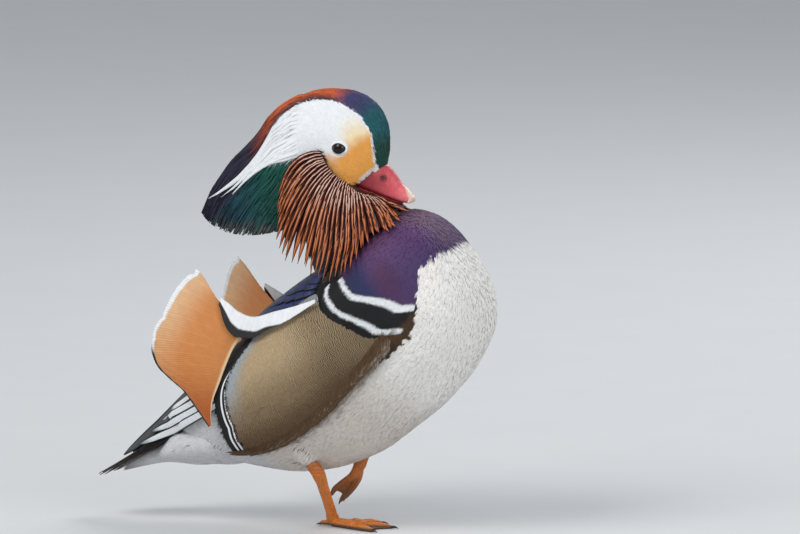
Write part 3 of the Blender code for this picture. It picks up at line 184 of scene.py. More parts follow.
class Curve:
    """A smooth line through given values that never swings past them."""

    def __init__(self, places, values):
        self.places = np.array(places, float)
        self.values = np.array(values, float)
        slopes = np.diff(self.values) / np.diff(self.places)
        self.tangents = np.zeros(len(self.places))
        self.tangents[0], self.tangents[-1] = slopes[0], slopes[-1]
        for i in range(1, len(slopes)):
            before, after = slopes[i - 1], slopes[i]
            if before * after > 0:
                self.tangents[i] = 2 * before * after / (before + after)

    def __call__(self, place):
        at = np.clip(place, self.places[0], self.places[-1])
        i = np.clip(np.searchsorted(self.places, at) - 1, 0, len(self.places) - 2)
        step = self.places[i + 1] - self.places[i]
        u = (at - self.places[i]) / step
        start = (1 + 2 * u) * (1 - u) ** 2 * self.values[i] + u * (1 - u) ** 2 * step * self.tangents[i]
        end = u * u * (3 - 2 * u) * self.values[i + 1] + u * u * (u - 1) * step * self.tangents[i + 1]
        return start + end


def smooth_path(points, count):
    points = np.array(points, float)
    lengths = np.linalg.norm(np.diff(points, axis=0), axis=1)
    places = np.concatenate([[0], np.cumsum(lengths)])
    at = np.linspace(0, places[-1], count)
    return np.stack([Curve(places, column)(at) for column in points.T], axis=1)


def unit(vector):
    vector = np.array(vector, float)
    return vector / np.maximum(np.linalg.norm(vector, axis=-1, keepdims=True), 1e-9)


def ease(low, high, value):
    """0 below low, 1 above high, smooth between."""
    u = np.clip((np.asarray(value, float) - low) / (high - low), 0, 1)
    return u * u * (3 - 2 * u)


def mix(first, second, share):
    share = np.asarray(share, float)[..., None]
    return first * (1 - share) + second * share


def body_to_world(t, s, n):
    x = BODY_X + t * math.cos(BODY_TILT) - n * math.sin(BODY_TILT)
    z = BODY_Z + t * math.sin(BODY_TILT) + n * math.cos(BODY_TILT)
    return np.stack(np.broadcast_arrays(x, s, z), axis=-1)


def world_to_body(x, z):
    dx, dz = x - BODY_X, z - BODY_Z
    along = dx * math.cos(BODY_TILT) + dz * math.sin(BODY_TILT)
    height = dz * math.cos(BODY_TILT) - dx * math.sin(BODY_TILT)
    return along, height


STATION_T = [station[0] for station in TORSO_STATIONS]
BELLY_LINE = Curve(STATION_T, [station[1] for station in TORSO_STATIONS])
BACK_LINE = Curve(STATION_T, [station[2] for station in TORSO_STATIONS])
TORSO_HALF = Curve(STATION_T, [station[3] for station in TORSO_STATIONS])


def torso_point(t, angle):
    middle = (BACK_LINE(t) + BELLY_LINE(t)) / 2
    height = (BACK_LINE(t) - BELLY_LINE(t)) / 2
    sine, cosine = np.sin(angle), np.cos(angle)
    power = np.where(cosine > 0, 2 / BACK_FULLNESS, 2 / BELLY_FULLNESS)
    s = -TORSO_HALF(t) * np.sign(sine) * np.abs(sine) ** power
    n = middle + height * np.sign(cosine) * np.abs(cosine) ** power
    return body_to_world(t, s, n)


def lifted_point(t, angle, lift):
    step_t, step_angle = 1.0, math.radians(1.0)
    along = torso_point(t + step_t, angle) - torso_point(t - step_t, angle)
    around = torso_point(t, angle + step_angle) - torso_point(t, angle - step_angle)
    outward = unit(np.cross(around, along))
    return torso_point(t, angle) + outward * np.asarray(lift)[..., None]


def torso_place(points):
    """t, n and angle of points near the torso; the angle is in degrees and alike on both sides."""
    t, n = world_to_body(points[:, 0], points[:, 2])
    middle = (BACK_LINE(t) + BELLY_LINE(t)) / 2
    height = np.maximum((BACK_LINE(t) - BELLY_LINE(t)) / 2, 1)
    power = np.where(n > middle, BACK_FULLNESS, BELLY_FULLNESS) / 2
    cosine = np.sign(n - middle) * np.abs((n - middle) / height) ** power
    sine = np.abs(points[:, 1] / TORSO_HALF(t)) ** power
    return t, n, np.degrees(np.arctan2(sine, cosine))


def torso_reach(x, z):
    t, n = world_to_body(x, z)
    middle = (BACK_LINE(t) + BELLY_LINE(t)) / 2
    height = (BACK_LINE(t) - BELLY_LINE(t)) / 2
    share = np.abs(n - middle) / height
    power = np.where(n > middle, BACK_FULLNESS, BELLY_FULLNESS)
    inside = np.clip(1 - share**power, 0, 1) ** (1 / power)
    return np.where((t > STATION_T[0]) & (t < STATION_T[-1]), TORSO_HALF(t) * inside, 0)


def neck_reach(x, z):
    heights = [section[0] for section in NECK_SECTIONS]
    middle, half_length, half_width = (Curve(heights, [s[i] for s in NECK_SECTIONS])(z) for i in (1, 2, 3))
    inside = np.clip(1 - ((x - middle) / half_length) ** 2, 0, 1) ** 0.5
    return np.where((z > heights[0]) & (z < heights[-1]), half_width * inside, 0)


def head_half_width(x, z):
    crown = np.clip((np.asarray(z, float) - 262) / 30, 0, 1)
    front = np.clip((np.asarray(x, float) - 12) / 26, 0, 1)
    return HEAD_HALF_WIDTH * (1 - 0.16 * crown) * (1 - 0.2 * front)


def head_share(x, z):
    """How far from the head's centre to its outline a place of the side view lies, as a share."""
    closed = np.array(HEAD_OUTLINE + HEAD_OUTLINE[:1], float) - HEAD_CENTRE
    angles = np.unwrap(np.arctan2(closed[:, 1], closed[:, 0]))
    radii = np.hypot(closed[:, 0], closed[:, 1])
    order = np.argsort(angles)
    dx, dz = x - HEAD_CENTRE[0], z - HEAD_CENTRE[1]
    low = angles[order][0]
    angle = (np.arctan2(dz, dx) - low) % (2 * math.pi) + low
    return np.hypot(dx, dz) / np.interp(angle, angles[order], radii[order])


def head_reach(x, z):
    share = np.clip(head_share(x, z), 0, 1)
    return head_half_width(x, z) * (1 - share**2.6) ** 0.5


def body_reach(x, z):
    x, z = np.asarray(x, float), np.asarray(z, float)
    return np.maximum(np.maximum(torso_reach(x, z), neck_reach(x, z)), head_reach(x, z))


def to_frame(points):
    """Points of the bird's own frame in the row frame, in metres."""
    return (np.asarray(points, float) + SHIFT) * 0.001


def from_frame(points):
    return np.asarray(points, float) * 1000 - SHIFT


# Mesh making.
def mesh_object(name, points, faces, smooth=True):
    """An object from points in millimetres and an array of triangles or quads, or a list of faces."""
    mesh = bpy.data.meshes.new(name)
    points = to_frame(points).astype(np.float32)
    if isinstance(faces, np.ndarray):
        count, sides = faces.shape
        mesh.vertices.add(len(points))
        mesh.vertices.foreach_set("co", points.ravel())
        mesh.loops.add(count * sides)
        mesh.loops.foreach_set("vertex_index", faces.astype(np.int32).ravel())
        mesh.polygons.add(count)
        mesh.polygons.foreach_set("loop_start", np.arange(0, count * sides, sides, dtype=np.int32))
        mesh.update(calc_edges=True)
    else:
        mesh.from_pydata(points.tolist(), [], faces)
    if smooth:
        mesh.shade_smooth()
    made = bpy.data.objects.new(name, mesh)
    bpy.context.scene.collection.objects.link(made)
    return made


def outward_faces(made):
    work = bmesh.new()
    work.from_mesh(made.data)
    bmesh.ops.recalc_face_normals(work, faces=work.faces)
    work.to_mesh(made.data)
    work.free()
    return made


def loft(name, rings, start=None, end=None):
    rings = np.asarray(rings, float)
    count, sides = rings.shape[:2]
    points = list(rings.reshape(-1, 3))
    faces = []
    for i in range(count - 1):
        for j in range(sides):
            k = (j + 1) % sides
            faces.append((i * sides + j, i * sides + k, (i + 1) * sides + k, (i + 1) * sides + j))
    for end_point, first in ((start, 0), (end, (count - 1) * sides)):
        ring = list(range(first, first + sides))
        if end_point is None:
            faces.append(ring)
            continue
        points.append(np.array(end_point, float))
        faces += [(ring[j], ring[(j + 1) % sides], len(points) - 1) for j in range(sides)]
    return outward_faces(mesh_object(name, points, faces))


def slab(name, front, back):
    """A closed sheet between two grids of points."""
    front, back = np.asarray(front, float), np.asarray(back, float)
    rows, columns = front.shape[:2]
    points = np.concatenate([front.reshape(-1, 3), back.reshape(-1, 3)])
    index = np.arange(rows * columns).reshape(rows, columns)
    quads = np.stack([index[:-1, :-1], index[:-1, 1:], index[1:, 1:], index[1:, :-1]], axis=-1).reshape(-1, 4)
    border = np.concatenate([index[0, :], index[1:, -1], index[-1, -2::-1], index[-2:0:-1, 0]])
    after = np.roll(border, -1)
    offset = rows * columns
    sides = np.stack([border, after, after + offset, border + offset], axis=-1)
    faces = np.concatenate([quads, quads[:, ::-1] + offset, sides])
    return outward_faces(mesh_object(name, points, faces))


def sheet(name, middle, thickness):
    down, across = np.gradient(middle, axis=0), np.gradient(middle, axis=1)
    offset = unit(np.cross(down, across)) * np.broadcast_to(thickness, middle.shape[:2])[..., None] / 2
    return slab(name, middle + offset, middle - offset)


def between(edge_a, edge_b, rows, columns, bulge=(0, 0, 0)):
    first, last = smooth_path(edge_a, rows), smooth_path(edge_b, rows)
    across = np.linspace(0, 1, columns)[None, :, None]
    along = np.linspace(0, 1, rows)[:, None, None]
    swell = np.sin(math.pi * across) * np.sin(math.pi * np.clip(along, 0.08, 0.92))
    return first[:, None] * (1 - across) + last[:, None] * across + swell * np.array(bulge, float)


def attribute(made, name, values, kind="FLOAT_COLOR"):
    """Stores one value for each vertex."""
    values = np.asarray(values, np.float32)
    layer = made.data.attributes.new(name, kind, "POINT")
    if kind == "FLOAT_COLOR":
        values = np.column_stack([values, np.ones(len(values), np.float32)])
        layer.data.foreach_set("color", values.ravel())
    elif kind == "FLOAT_VECTOR":
        layer.data.foreach_set("vector", values.ravel())
    else:
        layer.data.foreach_set("value", values.ravel())


def uv_map(made, name, values):
    """A UV map from one pair of numbers for each vertex."""
    mesh = made.data
    corners = np.empty(len(mesh.loops), np.int32)
    mesh.loops.foreach_get("vertex_index", corners)
    layer = mesh.uv_layers.new(name=name)
    layer.data.foreach_set("uv", np.asarray(values, np.float32)[corners].ravel())


def finish_piece(made, material, slot, nodes=()):
    places = np.empty(len(made.data.vertices) * 3, np.float32)
    made.data.vertices.foreach_get("co", places)
    inside = np.clip(places.reshape(-1, 3), np.array(CAD_LOW) + 1e-5, np.array(CAD_HIGH) - 1e-5)
    made.data.vertices.foreach_set("co", inside.astype(np.float32).ravel())
    made.data.materials.clear()
    made.data.materials.append(material)
    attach(made, "root")
    if nodes:
        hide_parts(*nodes)
    return made


def points_of(made):
    found = np.empty(len(made.data.vertices) * 3, np.float32)
    made.data.vertices.foreach_get("co", found)
    return from_frame(found.reshape(-1, 3))


def remove(shapes):
    for shape in shapes:
        mesh = shape.data
        bpy.data.objects.remove(shape)
        bpy.data.meshes.remove(mesh)


def apply_modifiers(made):
    graph = bpy.context.evaluated_depsgraph_get()
    mesh = bpy.data.meshes.new_from_object(made.evaluated_get(graph))
    made.modifiers.clear()
    old = made.data
    made.data = mesh
    bpy.data.meshes.remove(old)
    return made


def merged(name, shapes, voxel, smoothing):
    """One closed surface round several closed shapes that overlap, without their seams."""
    bpy.ops.object.select_all(action="DESELECT")
    for shape in shapes:
        shape.select_set(True)
    bpy.context.view_layer.objects.active = shapes[0]
    bpy.ops.object.join()
    made = shapes[0]
    made.name = name
    made.data.name = name
    remesh = made.modifiers.new("remesh", "REMESH")
    remesh.mode = "VOXEL"
    remesh.voxel_size = voxel * 0.001
    remesh.use_smooth_shade = True
    if smoothing:
        smooth = made.modifiers.new("smooth", "SMOOTH")
        smooth.factor = 0.5
        smooth.iterations = smoothing
    return apply_modifiers(made)


# Surfaces that feathers follow.
def pad_swell(u, v):
    along = np.sin(math.pi * np.clip(u, 0.02, 0.98))
    across = np.sin(math.pi * np.clip(v, 0.03, 0.97))
    return (along * across) ** 0.4


def pad_surface(first_line, second_line, clear, thickness, side):
    """Points of a swelling on the torso between two lines of (t, angle)."""
    first = smooth_path([(t, a, 0) for t, a in first_line], 48)[:, :2]
    second = smooth_path([(t, a, 0) for t, a in second_line], 48)[:, :2]
    at = np.linspace(0, 1, 48)

    def surface(u, v, lift=0.0):
        low = np.stack([np.interp(u, at, first[:, k]) for k in (0, 1)], axis=-1)
        high = np.stack([np.interp(u, at, second[:, k]) for k in (0, 1)], axis=-1)
        place = low * (1 - v)[..., None] + high * v[..., None]
        height = clear + thickness * pad_swell(u, v) + lift
        return lifted_point(place[..., 0], np.radians(place[..., 1]), height) * (1, -side, 1)

    return surface


def pad_shape(name, surface, thickness):
    u, v = np.meshgrid(np.linspace(0, 1, 40), np.linspace(0, 1, 40), indexing="ij")
    depth = thickness * pad_swell(u, v)
    return slab(name, surface(u, v), surface(u, v, -depth - 4))


def crest_point(angle, share):
    top = [Curve(np.linspace(0, 1, len(CREST_TOP)), column)(share) for column in zip(*CREST_TOP)]
    low = [Curve(np.linspace(0, 1, len(CREST_LOW)), column)(share) for column in zip(*CREST_LOW)]
    turn = (1 - np.cos(angle)) / 2
    bow = 4 * turn * (1 - turn) * share**2
    x, z = (a * (1 - turn) + b * turn + bow * most for a, b, most in zip(top, low, CREST_BOW))
    return np.stack(np.broadcast_arrays(x, -Curve(*CREST_HALF)(share) * np.sin(angle), z), axis=-1)


def crest_place(places):
    """The angle and the share of the crest's right side at places of the side view."""
    angles, shares = np.meshgrid(np.linspace(0, math.pi, 150), np.linspace(0, 1, 150), indexing="ij")
    angles, shares = angles.ravel(), shares.ravel()
    found = crest_point(angles, shares)
    tree = KDTree(len(found))
    for i, (x, _, z) in enumerate(found):
        tree.insert((x, 0, z), i)
    tree.balance()
    nearest = np.array([tree.find((x, 0, z))[1] for x, z in places])
    return angles[nearest], shares[nearest]


def crest_normal(angle, share):
    around = crest_point(angle + 0.02, share) - crest_point(angle - 0.02, share)
    along = crest_point(angle, share + 0.01) - crest_point(angle, share - 0.01)
    return unit(np.cross(along, around))


class Draped:
    """A surface through a grid of points; places on it are shares along and across."""

    def __init__(self, grid, outward):
        self.grid = np.asarray(grid, float)
        down, across = np.gradient(self.grid, axis=0), np.gradient(self.grid, axis=1)
        self.normals = unit(np.cross(down, across))
        self.normals *= np.sign((self.normals * outward).sum(axis=-1).mean())

    def __call__(self, u, v):
        rows, columns = self.grid.shape[:2]
        at = np.clip(u, 0, 1) * (rows - 1)
        over = np.clip(v, 0, 1) * (columns - 1)
        i = np.minimum(at.astype(int), rows - 2)
        j = np.minimum(over.astype(int), columns - 2)
        a, b = (at - i)[..., None], (over - j)[..., None]
        mixed = []
        for values in (self.grid, self.normals):
            near = values[i, j] * (1 - b) + values[i, j + 1] * b
            far = values[i + 1, j] * (1 - b) + values[i + 1, j + 1] * b
            mixed.append(near * (1 - a) + far * a)
        return mixed[0], unit(mixed[1])


# Feathers: many at a time, each a closed strip over a few sections.
def strips(name, centres, ups, half_widths, thickness, colours, unwrap, patch=0.003, profile=None, soft=0.0):
    """Closed feathers from their sections.

    centres and ups hold (feathers, sections, 3), half_widths (feathers, sections). The profile lists the
    points of a section from its left to its right edge: share of the half width, share of the thickness,
    and how much of the shaft's colour it shows, or of the rim's if below 0. colours holds
    (feathers, sections, 3), or two or three of them for the vane, the shaft and the rim. soft is how far
    the light falls on them as on one smooth surface.
    """
    profile = profile or ((-1, 0, 0), (0, 1, 0), (1, 0, 0))
    count, sections = centres.shape[:2]
    ahead = np.gradient(centres, axis=1)
    side = unit(np.cross(ahead, ups))
    up = unit(np.cross(side, ahead))
    columns = len(profile)
    points = np.empty((count, sections, columns, 3))
    shade = np.empty((count, sections, columns, 3))
    colours = colours if isinstance(colours, tuple) else (colours, colours)
    vane, shaft, rim = (*colours, colours[0])[:3]
    thick = np.broadcast_to(thickness, half_widths.shape)
    for k, (over, rise, shown) in enumerate(profile):
        points[:, :, k] = centres + side * (over * half_widths)[..., None] + up * (thick * rise)[..., None]
        shade[:, :, k] = vane * (1 - abs(shown)) + (shaft if shown > 0 else rim) * abs(shown)
    index = np.arange(count * sections * columns).reshape(count, sections, columns)
    faces = []
    for k in range(columns):
        j = (k + 1) % columns
        a, b = index[:, :-1, k], index[:, :-1, j]
        c, d = index[:, 1:, j], index[:, 1:, k]
        faces += [np.stack([a, b, c], -1).reshape(-1, 3), np.stack([a, c, d], -1).reshape(-1, 3)]
    for k in range(1, columns - 1):
        faces.append(np.stack([index[:, 0, 0], index[:, 0, k + 1], index[:, 0, k]], -1))
        faces.append(np.stack([index[:, -1, 0], index[:, -1, k], index[:, -1, k + 1]], -1))
    made = mesh_object(name, points.reshape(-1, 3), np.concatenate(faces))
    attribute(made, "Shade", shade.reshape(-1, 3))
    if soft:
        own = np.empty(len(made.data.vertices) * 3, np.float32)
        made.data.vertices.foreach_get("normal", own)
        even = np.repeat(ups[:, :, None], columns, axis=2).reshape(-1, 3)
        facing = unit(own.reshape(-1, 3) * (1 - soft) + even * soft)
        made.data.normals_split_custom_set_from_vertices(facing.tolist())
    across = np.array([over for over, _, _ in profile])
    along = np.linspace(0, 1, sections)
    local = np.stack(np.broadcast_arrays(across[None, None, :] * 0.5, along[None, :, None]), axis=-1)
    local = np.broadcast_to(local, (count, sections, columns, 2))
    place = np.clip(unwrap, 0.003, 0.994)[:, None, None, :] + local * patch
    uv_map(made, "OFBake", place.reshape(-1, 2))
    uv_map(made, "Vane", (local + (0.5, 0)).reshape(-1, 2))
    return made


def scatter(made, spacing, seed):
    """Points spread evenly over a mesh, with its normals there, in millimetres."""
    tree = bpy.data.node_groups.new("spread", "GeometryNodeTree")
    tree.interface.new_socket("Geometry", in_out="INPUT", socket_type="NodeSocketGeometry")
    tree.interface.new_socket("Geometry", in_out="OUTPUT", socket_type="NodeSocketGeometry")
    start, end = tree.nodes.new("NodeGroupInput"), tree.nodes.new("NodeGroupOutput")
    spread = tree.nodes.new("GeometryNodeDistributePointsOnFaces")
    spread.distribute_method = "POISSON"
    spread.inputs["Distance Min"].default_value = spacing * 0.001
    spread.inputs["Density Max"].default_value = 1.6e6 / spacing**2
    spread.inputs["Seed"].default_value = seed
    keep = tree.nodes.new("GeometryNodeStoreNamedAttribute")
    keep.data_type = "FLOAT_VECTOR"
    keep.domain = "POINT"
    keep.inputs["Name"].default_value = "facing"
    turn = tree.nodes.new("GeometryNodePointsToVertices")
    tree.links.new(start.outputs[0], spread.inputs["Mesh"])
    tree.links.new(spread.outputs["Points"], keep.inputs["Geometry"])
    tree.links.new(spread.outputs["Normal"], keep.inputs["Value"])
    tree.links.new(keep.outputs["Geometry"], turn.inputs["Points"])
    tree.links.new(turn.outputs["Mesh"], end.inputs[0])
    modifier = made.modifiers.new("spread", "NODES")
    modifier.node_group = tree
    graph = bpy.context.evaluated_depsgraph_get()
    mesh = bpy.data.meshes.new_from_object(made.evaluated_get(graph))
    made.modifiers.remove(modifier)
    bpy.data.node_groups.remove(tree)
    points = np.empty(len(mesh.vertices) * 3, np.float32)
    mesh.vertices.foreach_get("co", points)
    normals = np.empty(len(mesh.vertices) * 3, np.float32)
    mesh.attributes["facing"].data.foreach_get("vector", normals)
    bpy.data.meshes.remove(mesh)
    return from_frame(points.reshape(-1, 3)), unit(normals.reshape(-1, 3))


def part_of(made, keep, name):
    """A copy of the faces whose middles pass a test."""
    mesh = made.data
    count = len(mesh.polygons)
    middles = np.empty(count * 3, np.float32)
    mesh.polygons.foreach_get("center", middles)
    chosen = keep(from_frame(middles.reshape(-1, 3)))
    work = bmesh.new()
    work.from_mesh(mesh)
    work.faces.ensure_lookup_table()
    gone = [work.faces[i] for i in np.nonzero(~chosen)[0]]
    bmesh.ops.delete(work, geom=gone, context="FACES")
    part = bpy.data.meshes.new(name)
    work.to_mesh(part)
    work.free()
    made = bpy.data.objects.new(name, part)
    bpy.context.scene.collection.objects.link(made)
    return made


def follow(tree, roots, normals, flow, lengths, shares):
    """Section middles and normals of feathers that lie along a skin."""
    count = len(roots)
    centres = np.empty((count, len(shares), 3))
    ups = np.empty((count, len(shares), 3))
    centres[:, 0], ups[:, 0] = roots, normals
    frame_points = to_frame(roots[:, None] + flow[:, None] * (lengths[:, None] * np.array(shares))[..., None])
    for k in range(1, len(shares)):
        for i in range(count):
            place, normal, _, _ = tree.find_nearest(frame_points[i, k])
            centres[i, k] = place
            ups[i, k] = normal
        centres[:, k] = from_frame(centres[:, k])
    for k in range(1, len(shares)):
        ups[:, k] = unit(ups[:, k] + ups[:, k - 1])
    return centres, ups


def along_skin(flow, normals):
    """The given directions laid flat on the skin."""
    flow = flow - normals * (flow * normals).sum(axis=-1, keepdims=True)
    return unit(flow)


def noise_of(points, size, seed):
    """Smooth random values from -1 to 1 over space, from a few waves."""
    rng = np.random.default_rng(seed)
    total = np.zeros(len(points))
    for _ in range(7):
        direction = unit(rng.normal(size=3)) / size * rng.uniform(0.6, 1.6)
        total += np.sin(points @ direction * 2 * math.pi + rng.uniform(0, 2 * math.pi))
    return total / 3.2


def line_height(line, x):
    """The height of a line of (x, z) above a place, for lines that run steadily to the rear."""
    line = np.array(line)[::-1]
    return np.interp(x, line[:, 0], line[:, 1])


def distance_to(line, points):
    """Distance of points (N, 2) to a bent line, and the share of the way along it where it is nearest."""
    path = smooth_path([(a, b, 0) for a, b in line], 160)[:, :2]
    best = np.full(len(points), 1e9)
    share = np.zeros(len(points))
    for i, (a, b) in enumerate(zip(path[:-1], path[1:])):
        step = b - a
        at = np.clip(((points - a) @ step) / (step @ step), 0, 1)
        gap = np.linalg.norm(points - a - at[:, None] * step, axis=1)
        nearer = gap < best
        best[nearer] = gap[nearer]
        share[nearer] = (i + at[nearer]) / (len(path) - 1)
    return best, share


def side_of(line, points):
    """Which side of a bent line points lie on, in millimetres: positive to the left of its direction."""
    path = smooth_path([(a, b, 0) for a, b in line], 120)[:, :2]
    best = np.full(len(points), 1e9)
    signed = np.zeros(len(points))
    for a, b in zip(path[:-1], path[1:]):
        step = b - a
        at = np.clip(((points - a) @ step) / (step @ step), 0, 1)
        away = points - a - at[:, None] * step
        gap = np.linalg.norm(away, axis=1)
        nearer = gap < best - 1e-9
        best[nearer] = gap[nearer]
        cross = step[0] * away[nearer, 1] - step[1] * away[nearer, 0]
        signed[nearer] = np.sign(cross) * gap[nearer]
    return signed


# Markings.
BILL_EDGE = ((31, 241.5), (24.5, 236), (18.5, 229.8))  # where the feathers meet the bill, lined in white


def head_colour(points, wobble=0.0):
    """Colours of the head and crest at places of the side view."""
    x, z = points[:, 0] + wobble, points[:, 2] + wobble * 0.6
    flat = np.column_stack([x, z])
    above = side_of(WHITE_TOP, flat)
    below = side_of(WHITE_LOW, flat)
    # The stripe over the crown, from the bill to the end of the crest.
    turn = np.degrees(np.arctan2(z - 240, x + 12))
    crown = mix(CROWN_GREEN, CROWN_TEAL, ease(14, 34, turn))
    crown = mix(crown, CROWN_BLUE, ease(38, 58, turn))
    crown = mix(crown, RUFOUS, ease(64, 80, turn + noise_of(points, 9, 3) * 5))
    edge = np.clip(-above, 0, 30)
    rear = ease(-48, -62, x + noise_of(points, 7, 6) * 2)
    crown = mix(crown, RUFOUS_DARK, ease(5, 2.0, edge) * 0.85 * ease(70, 84, turn))
    crown = mix(crown, CREST_REAR * 0.7, ease(2.2, 0.7, edge) * ease(66, 80, turn))
    crown = mix(crown, RUFOUS_DARK, ease(-38, -54, x) * 0.8)
    crown = mix(crown, CREST_REAR, rear)
    # The white of the face, cream then orange towards the bill.
    face = np.broadcast_to(WHITE, points.shape).copy()
    orange = ease(254, 242.5, z - 0.59 * x + noise_of(points, 8, 5))
    lower = ease(258, 240, z) * ease(-9, -1, x)
    warm = np.maximum(orange * ease(-4, 8, x), lower * 0.95)
    face = mix(face, CREAM, np.clip(ease(2, 16, x) * ease(278, 262, z), 0, 1))
    face = mix(face, ORANGE, warm)
    eye = np.hypot((x - EYE[0] + 0.6) / 1.18, z - EYE[2])
    face = mix(face, WHITE, ease(6.3, 5.5, eye))
    behind = ease(1, -3, x) * ease(248, 250.5, z)
    face = mix(face, WHITE, behind)
    rim = np.abs(above)
    face = mix(face, WHITE, ease(1.4, 0.8, rim) * (x > 0))
    bill_edge, _ = distance_to(BILL_EDGE, flat)
    face = mix(face, WHITE, ease(1.9, 1.1, bill_edge) * 0.9)
    face = mix(face, CREST_REAR, ease(-49, -58, x))
    # The lower crest, green in front and darker to the rear, with a grey fringe.
    low = mix(CREST_GREEN, CREST_TEAL, ease(-42, -70, x))
    low = mix(low, CREST_REAR, ease(-66, -92, x) * 0.7)
    low = mix(low, FRINGE, ease(201, 193, z + noise_of(points, 5, 8) * 3) * ease(-34, -46, x) * 0.8)
    # Painted shade: the front of the lower crest, under the ruff, takes the hackles' gap shade.
    low_front = ease(-2, 2, x + 26)
    low = mix(low, RUFF_GAP_SHADE, low_front)
    lower_half = (below > 0) & (x < np.interp(z, (243.4, 251), (-2, -5.8)))
    in_face = (above > 0) & ~lower_half
    colours = np.where((above > 0)[:, None], np.where(lower_half[:, None], low, face), crown)
    # Painted shade: below the cheek line, under the ruff, the skin takes the hackles' gap shade.
    cheek = side_of(CHEEK_LOW, flat)
    under = (cheek < 0) & (x > -5) & (z < 252)
    colours = np.where(under[:, None], RUFF_GAP_SHADE, colours)
    return colours, in_face & ~under


PALE_TOP = Curve((-150, -134, -126, -113, -98, -85, -70), (44, 47, 51, 50, 45, 42, 40))


def torso_colour(points, wobble=0.0):
    """Colours of the torso and neck."""
    t, n, angle = torso_place(points)
    noise = noise_of(points, 6, 4)
    arc = 0.95
    flat = np.column_stack([t + wobble, angle * arc])
    scaled = lambda line: [(a, b * arc) for a, b in line]
    breast = mix(PURPLE, MAROON, ease(0.4, -0.6, noise_of(points, 40, 5)) * 0.5)
    breast = mix(breast, BREAST_BLUE, ease(72, 56, t) * ease(40, 62, angle))
    breast = mix(breast, MAROON, ease(48, 30, angle) * 0.35)
    breast = mix(breast, BREAST_BLUE, ease(60, 20, n) * ease(60, 90, t) * 0.55)
    back = mix(MANTLE, BLACK, ease(-30, -90, t) * 0.7)
    colours = mix(back, breast, ease(38, 56, t + noise * 3))
    upper, _ = distance_to(scaled(UPPER_BAR), flat)
    lower, lower_share = distance_to(scaled(LOWER_BAR), flat)
    ahead = side_of(scaled(UPPER_BAR), flat)
    behind = side_of(scaled(BLACK_REAR), flat)
    black = ease(-0.8, 0.2, ahead) * ease(1.4, 0.4, behind) * ((angle > 40) & (t > 15))
    colours = mix(colours, BLACK, black)
    brown = ease(97, 101, angle + noise) * (t > 5) * ease(80, 70, t)
    colours = mix(colours, FLANK_BROWN * 0.6, brown)
    bar = np.maximum(ease(2.2, 1.5, upper + noise * 0.15) * (angle > 50), ease(1.9, 1.2, lower + noise * 0.15) * (angle > 46))
    colours = mix(colours, WHITE, bar * ((t > 18) & (angle < 102)))
    edge = Curve(*zip(*BELLY_EDGE))(t)
    depth = n - edge + noise * 1.6 + wobble
    # The belly turns greyer towards the rear: painted shade of its underside.
    pale = mix(BELLY, BELLY_SHADE_GREY, ease(50, 0, t) * 0.8)
    pale = mix(pale, VENT_GREY, ease(-68, -84, t))
    below = angle - 100 - (51 - t) * 0.137  # under the lower edge of the sides
    behind_flank, _ = distance_to(FLANK_REAR, np.column_stack([t, angle]))
    rear = (t < -72) & (behind_flank > 4.0) & (n < PALE_TOP(t) + noise)
    colours = mix(colours, pale, ((depth < 0) | (below > 0) & (t < 20) | rear).astype(float))
    brown = ease(8, -1, below + wobble * 6 + noise * 1.5) * ease(-84, -76, t) * ease(62, 52, t) * (below > -3)
    return mix(colours, FLANK_BROWN, brown * 0.9)


# Places and shapes that many pieces share.
def inside_outline(outline, points):
    """Whether points (N, 2) lie inside a closed outline."""
    outline = np.array(outline, float)
    inside = np.zeros(len(points), bool)
    for (ax, ay), (bx, by) in zip(outline, np.roll(outline, -1, axis=0)):
        if ay == by:
            continue
        crosses = (ay > points[:, 1]) != (by > points[:, 1])
        inside ^= crosses & (points[:, 0] < (bx - ax) * (points[:, 1] - ay) / (by - ay) + ax)
    return inside


def unwrap(points):
    """Each place's own spot on a flat plan of the skin: the body below, the head and crest above."""
    x, y, z = points.T
    t, n = world_to_body(x, z)
    around = np.arctan2(y, n - (BACK_LINE(t) + BELLY_LINE(t)) / 2) / (2 * math.pi) + 0.5
    body = np.column_stack([0.01 + 0.97 * around, 0.01 + 0.52 * (t + 160) / 272])
    turn = np.arctan2(y, x + 8) / (2 * math.pi) + 0.5
    head = np.column_stack([0.01 + 0.97 * turn, 0.55 + 0.44 * (z - 186) / 106])
    upper = (z > 215) | (x < -30) & (z > 186)
    return np.clip(np.where(upper[:, None], head, body), 0.004, 0.994)


def skin_unwrap(made):
    """The skin's own plan, its faces cut where the plan's edges meet."""
    mesh = made.data
    corners = np.empty(len(mesh.loops), np.int32)
    mesh.loops.foreach_get("vertex_index", corners)
    plan = unwrap(points_of(made))[corners]
    starts = np.empty(len(mesh.polygons), np.int32)
    mesh.polygons.foreach_get("loop_start", starts)
    face = np.repeat(np.arange(len(starts)), np.diff(np.append(starts, len(corners))))
    for axis in (0, 1):
        high = np.maximum.reduceat(plan[:, axis], starts)[face]
        low = np.minimum.reduceat(plan[:, axis], starts)[face]
        limit = 0.5 if axis == 0 else 0.06
        torn = (high - low > limit) & (plan[:, axis] < (high + low) / 2)
        plan[torn, axis] = high[torn]
    layer = mesh.uv_layers.new(name="OFBake")
    layer.data.foreach_set("uv", plan.astype(np.float32).ravel())


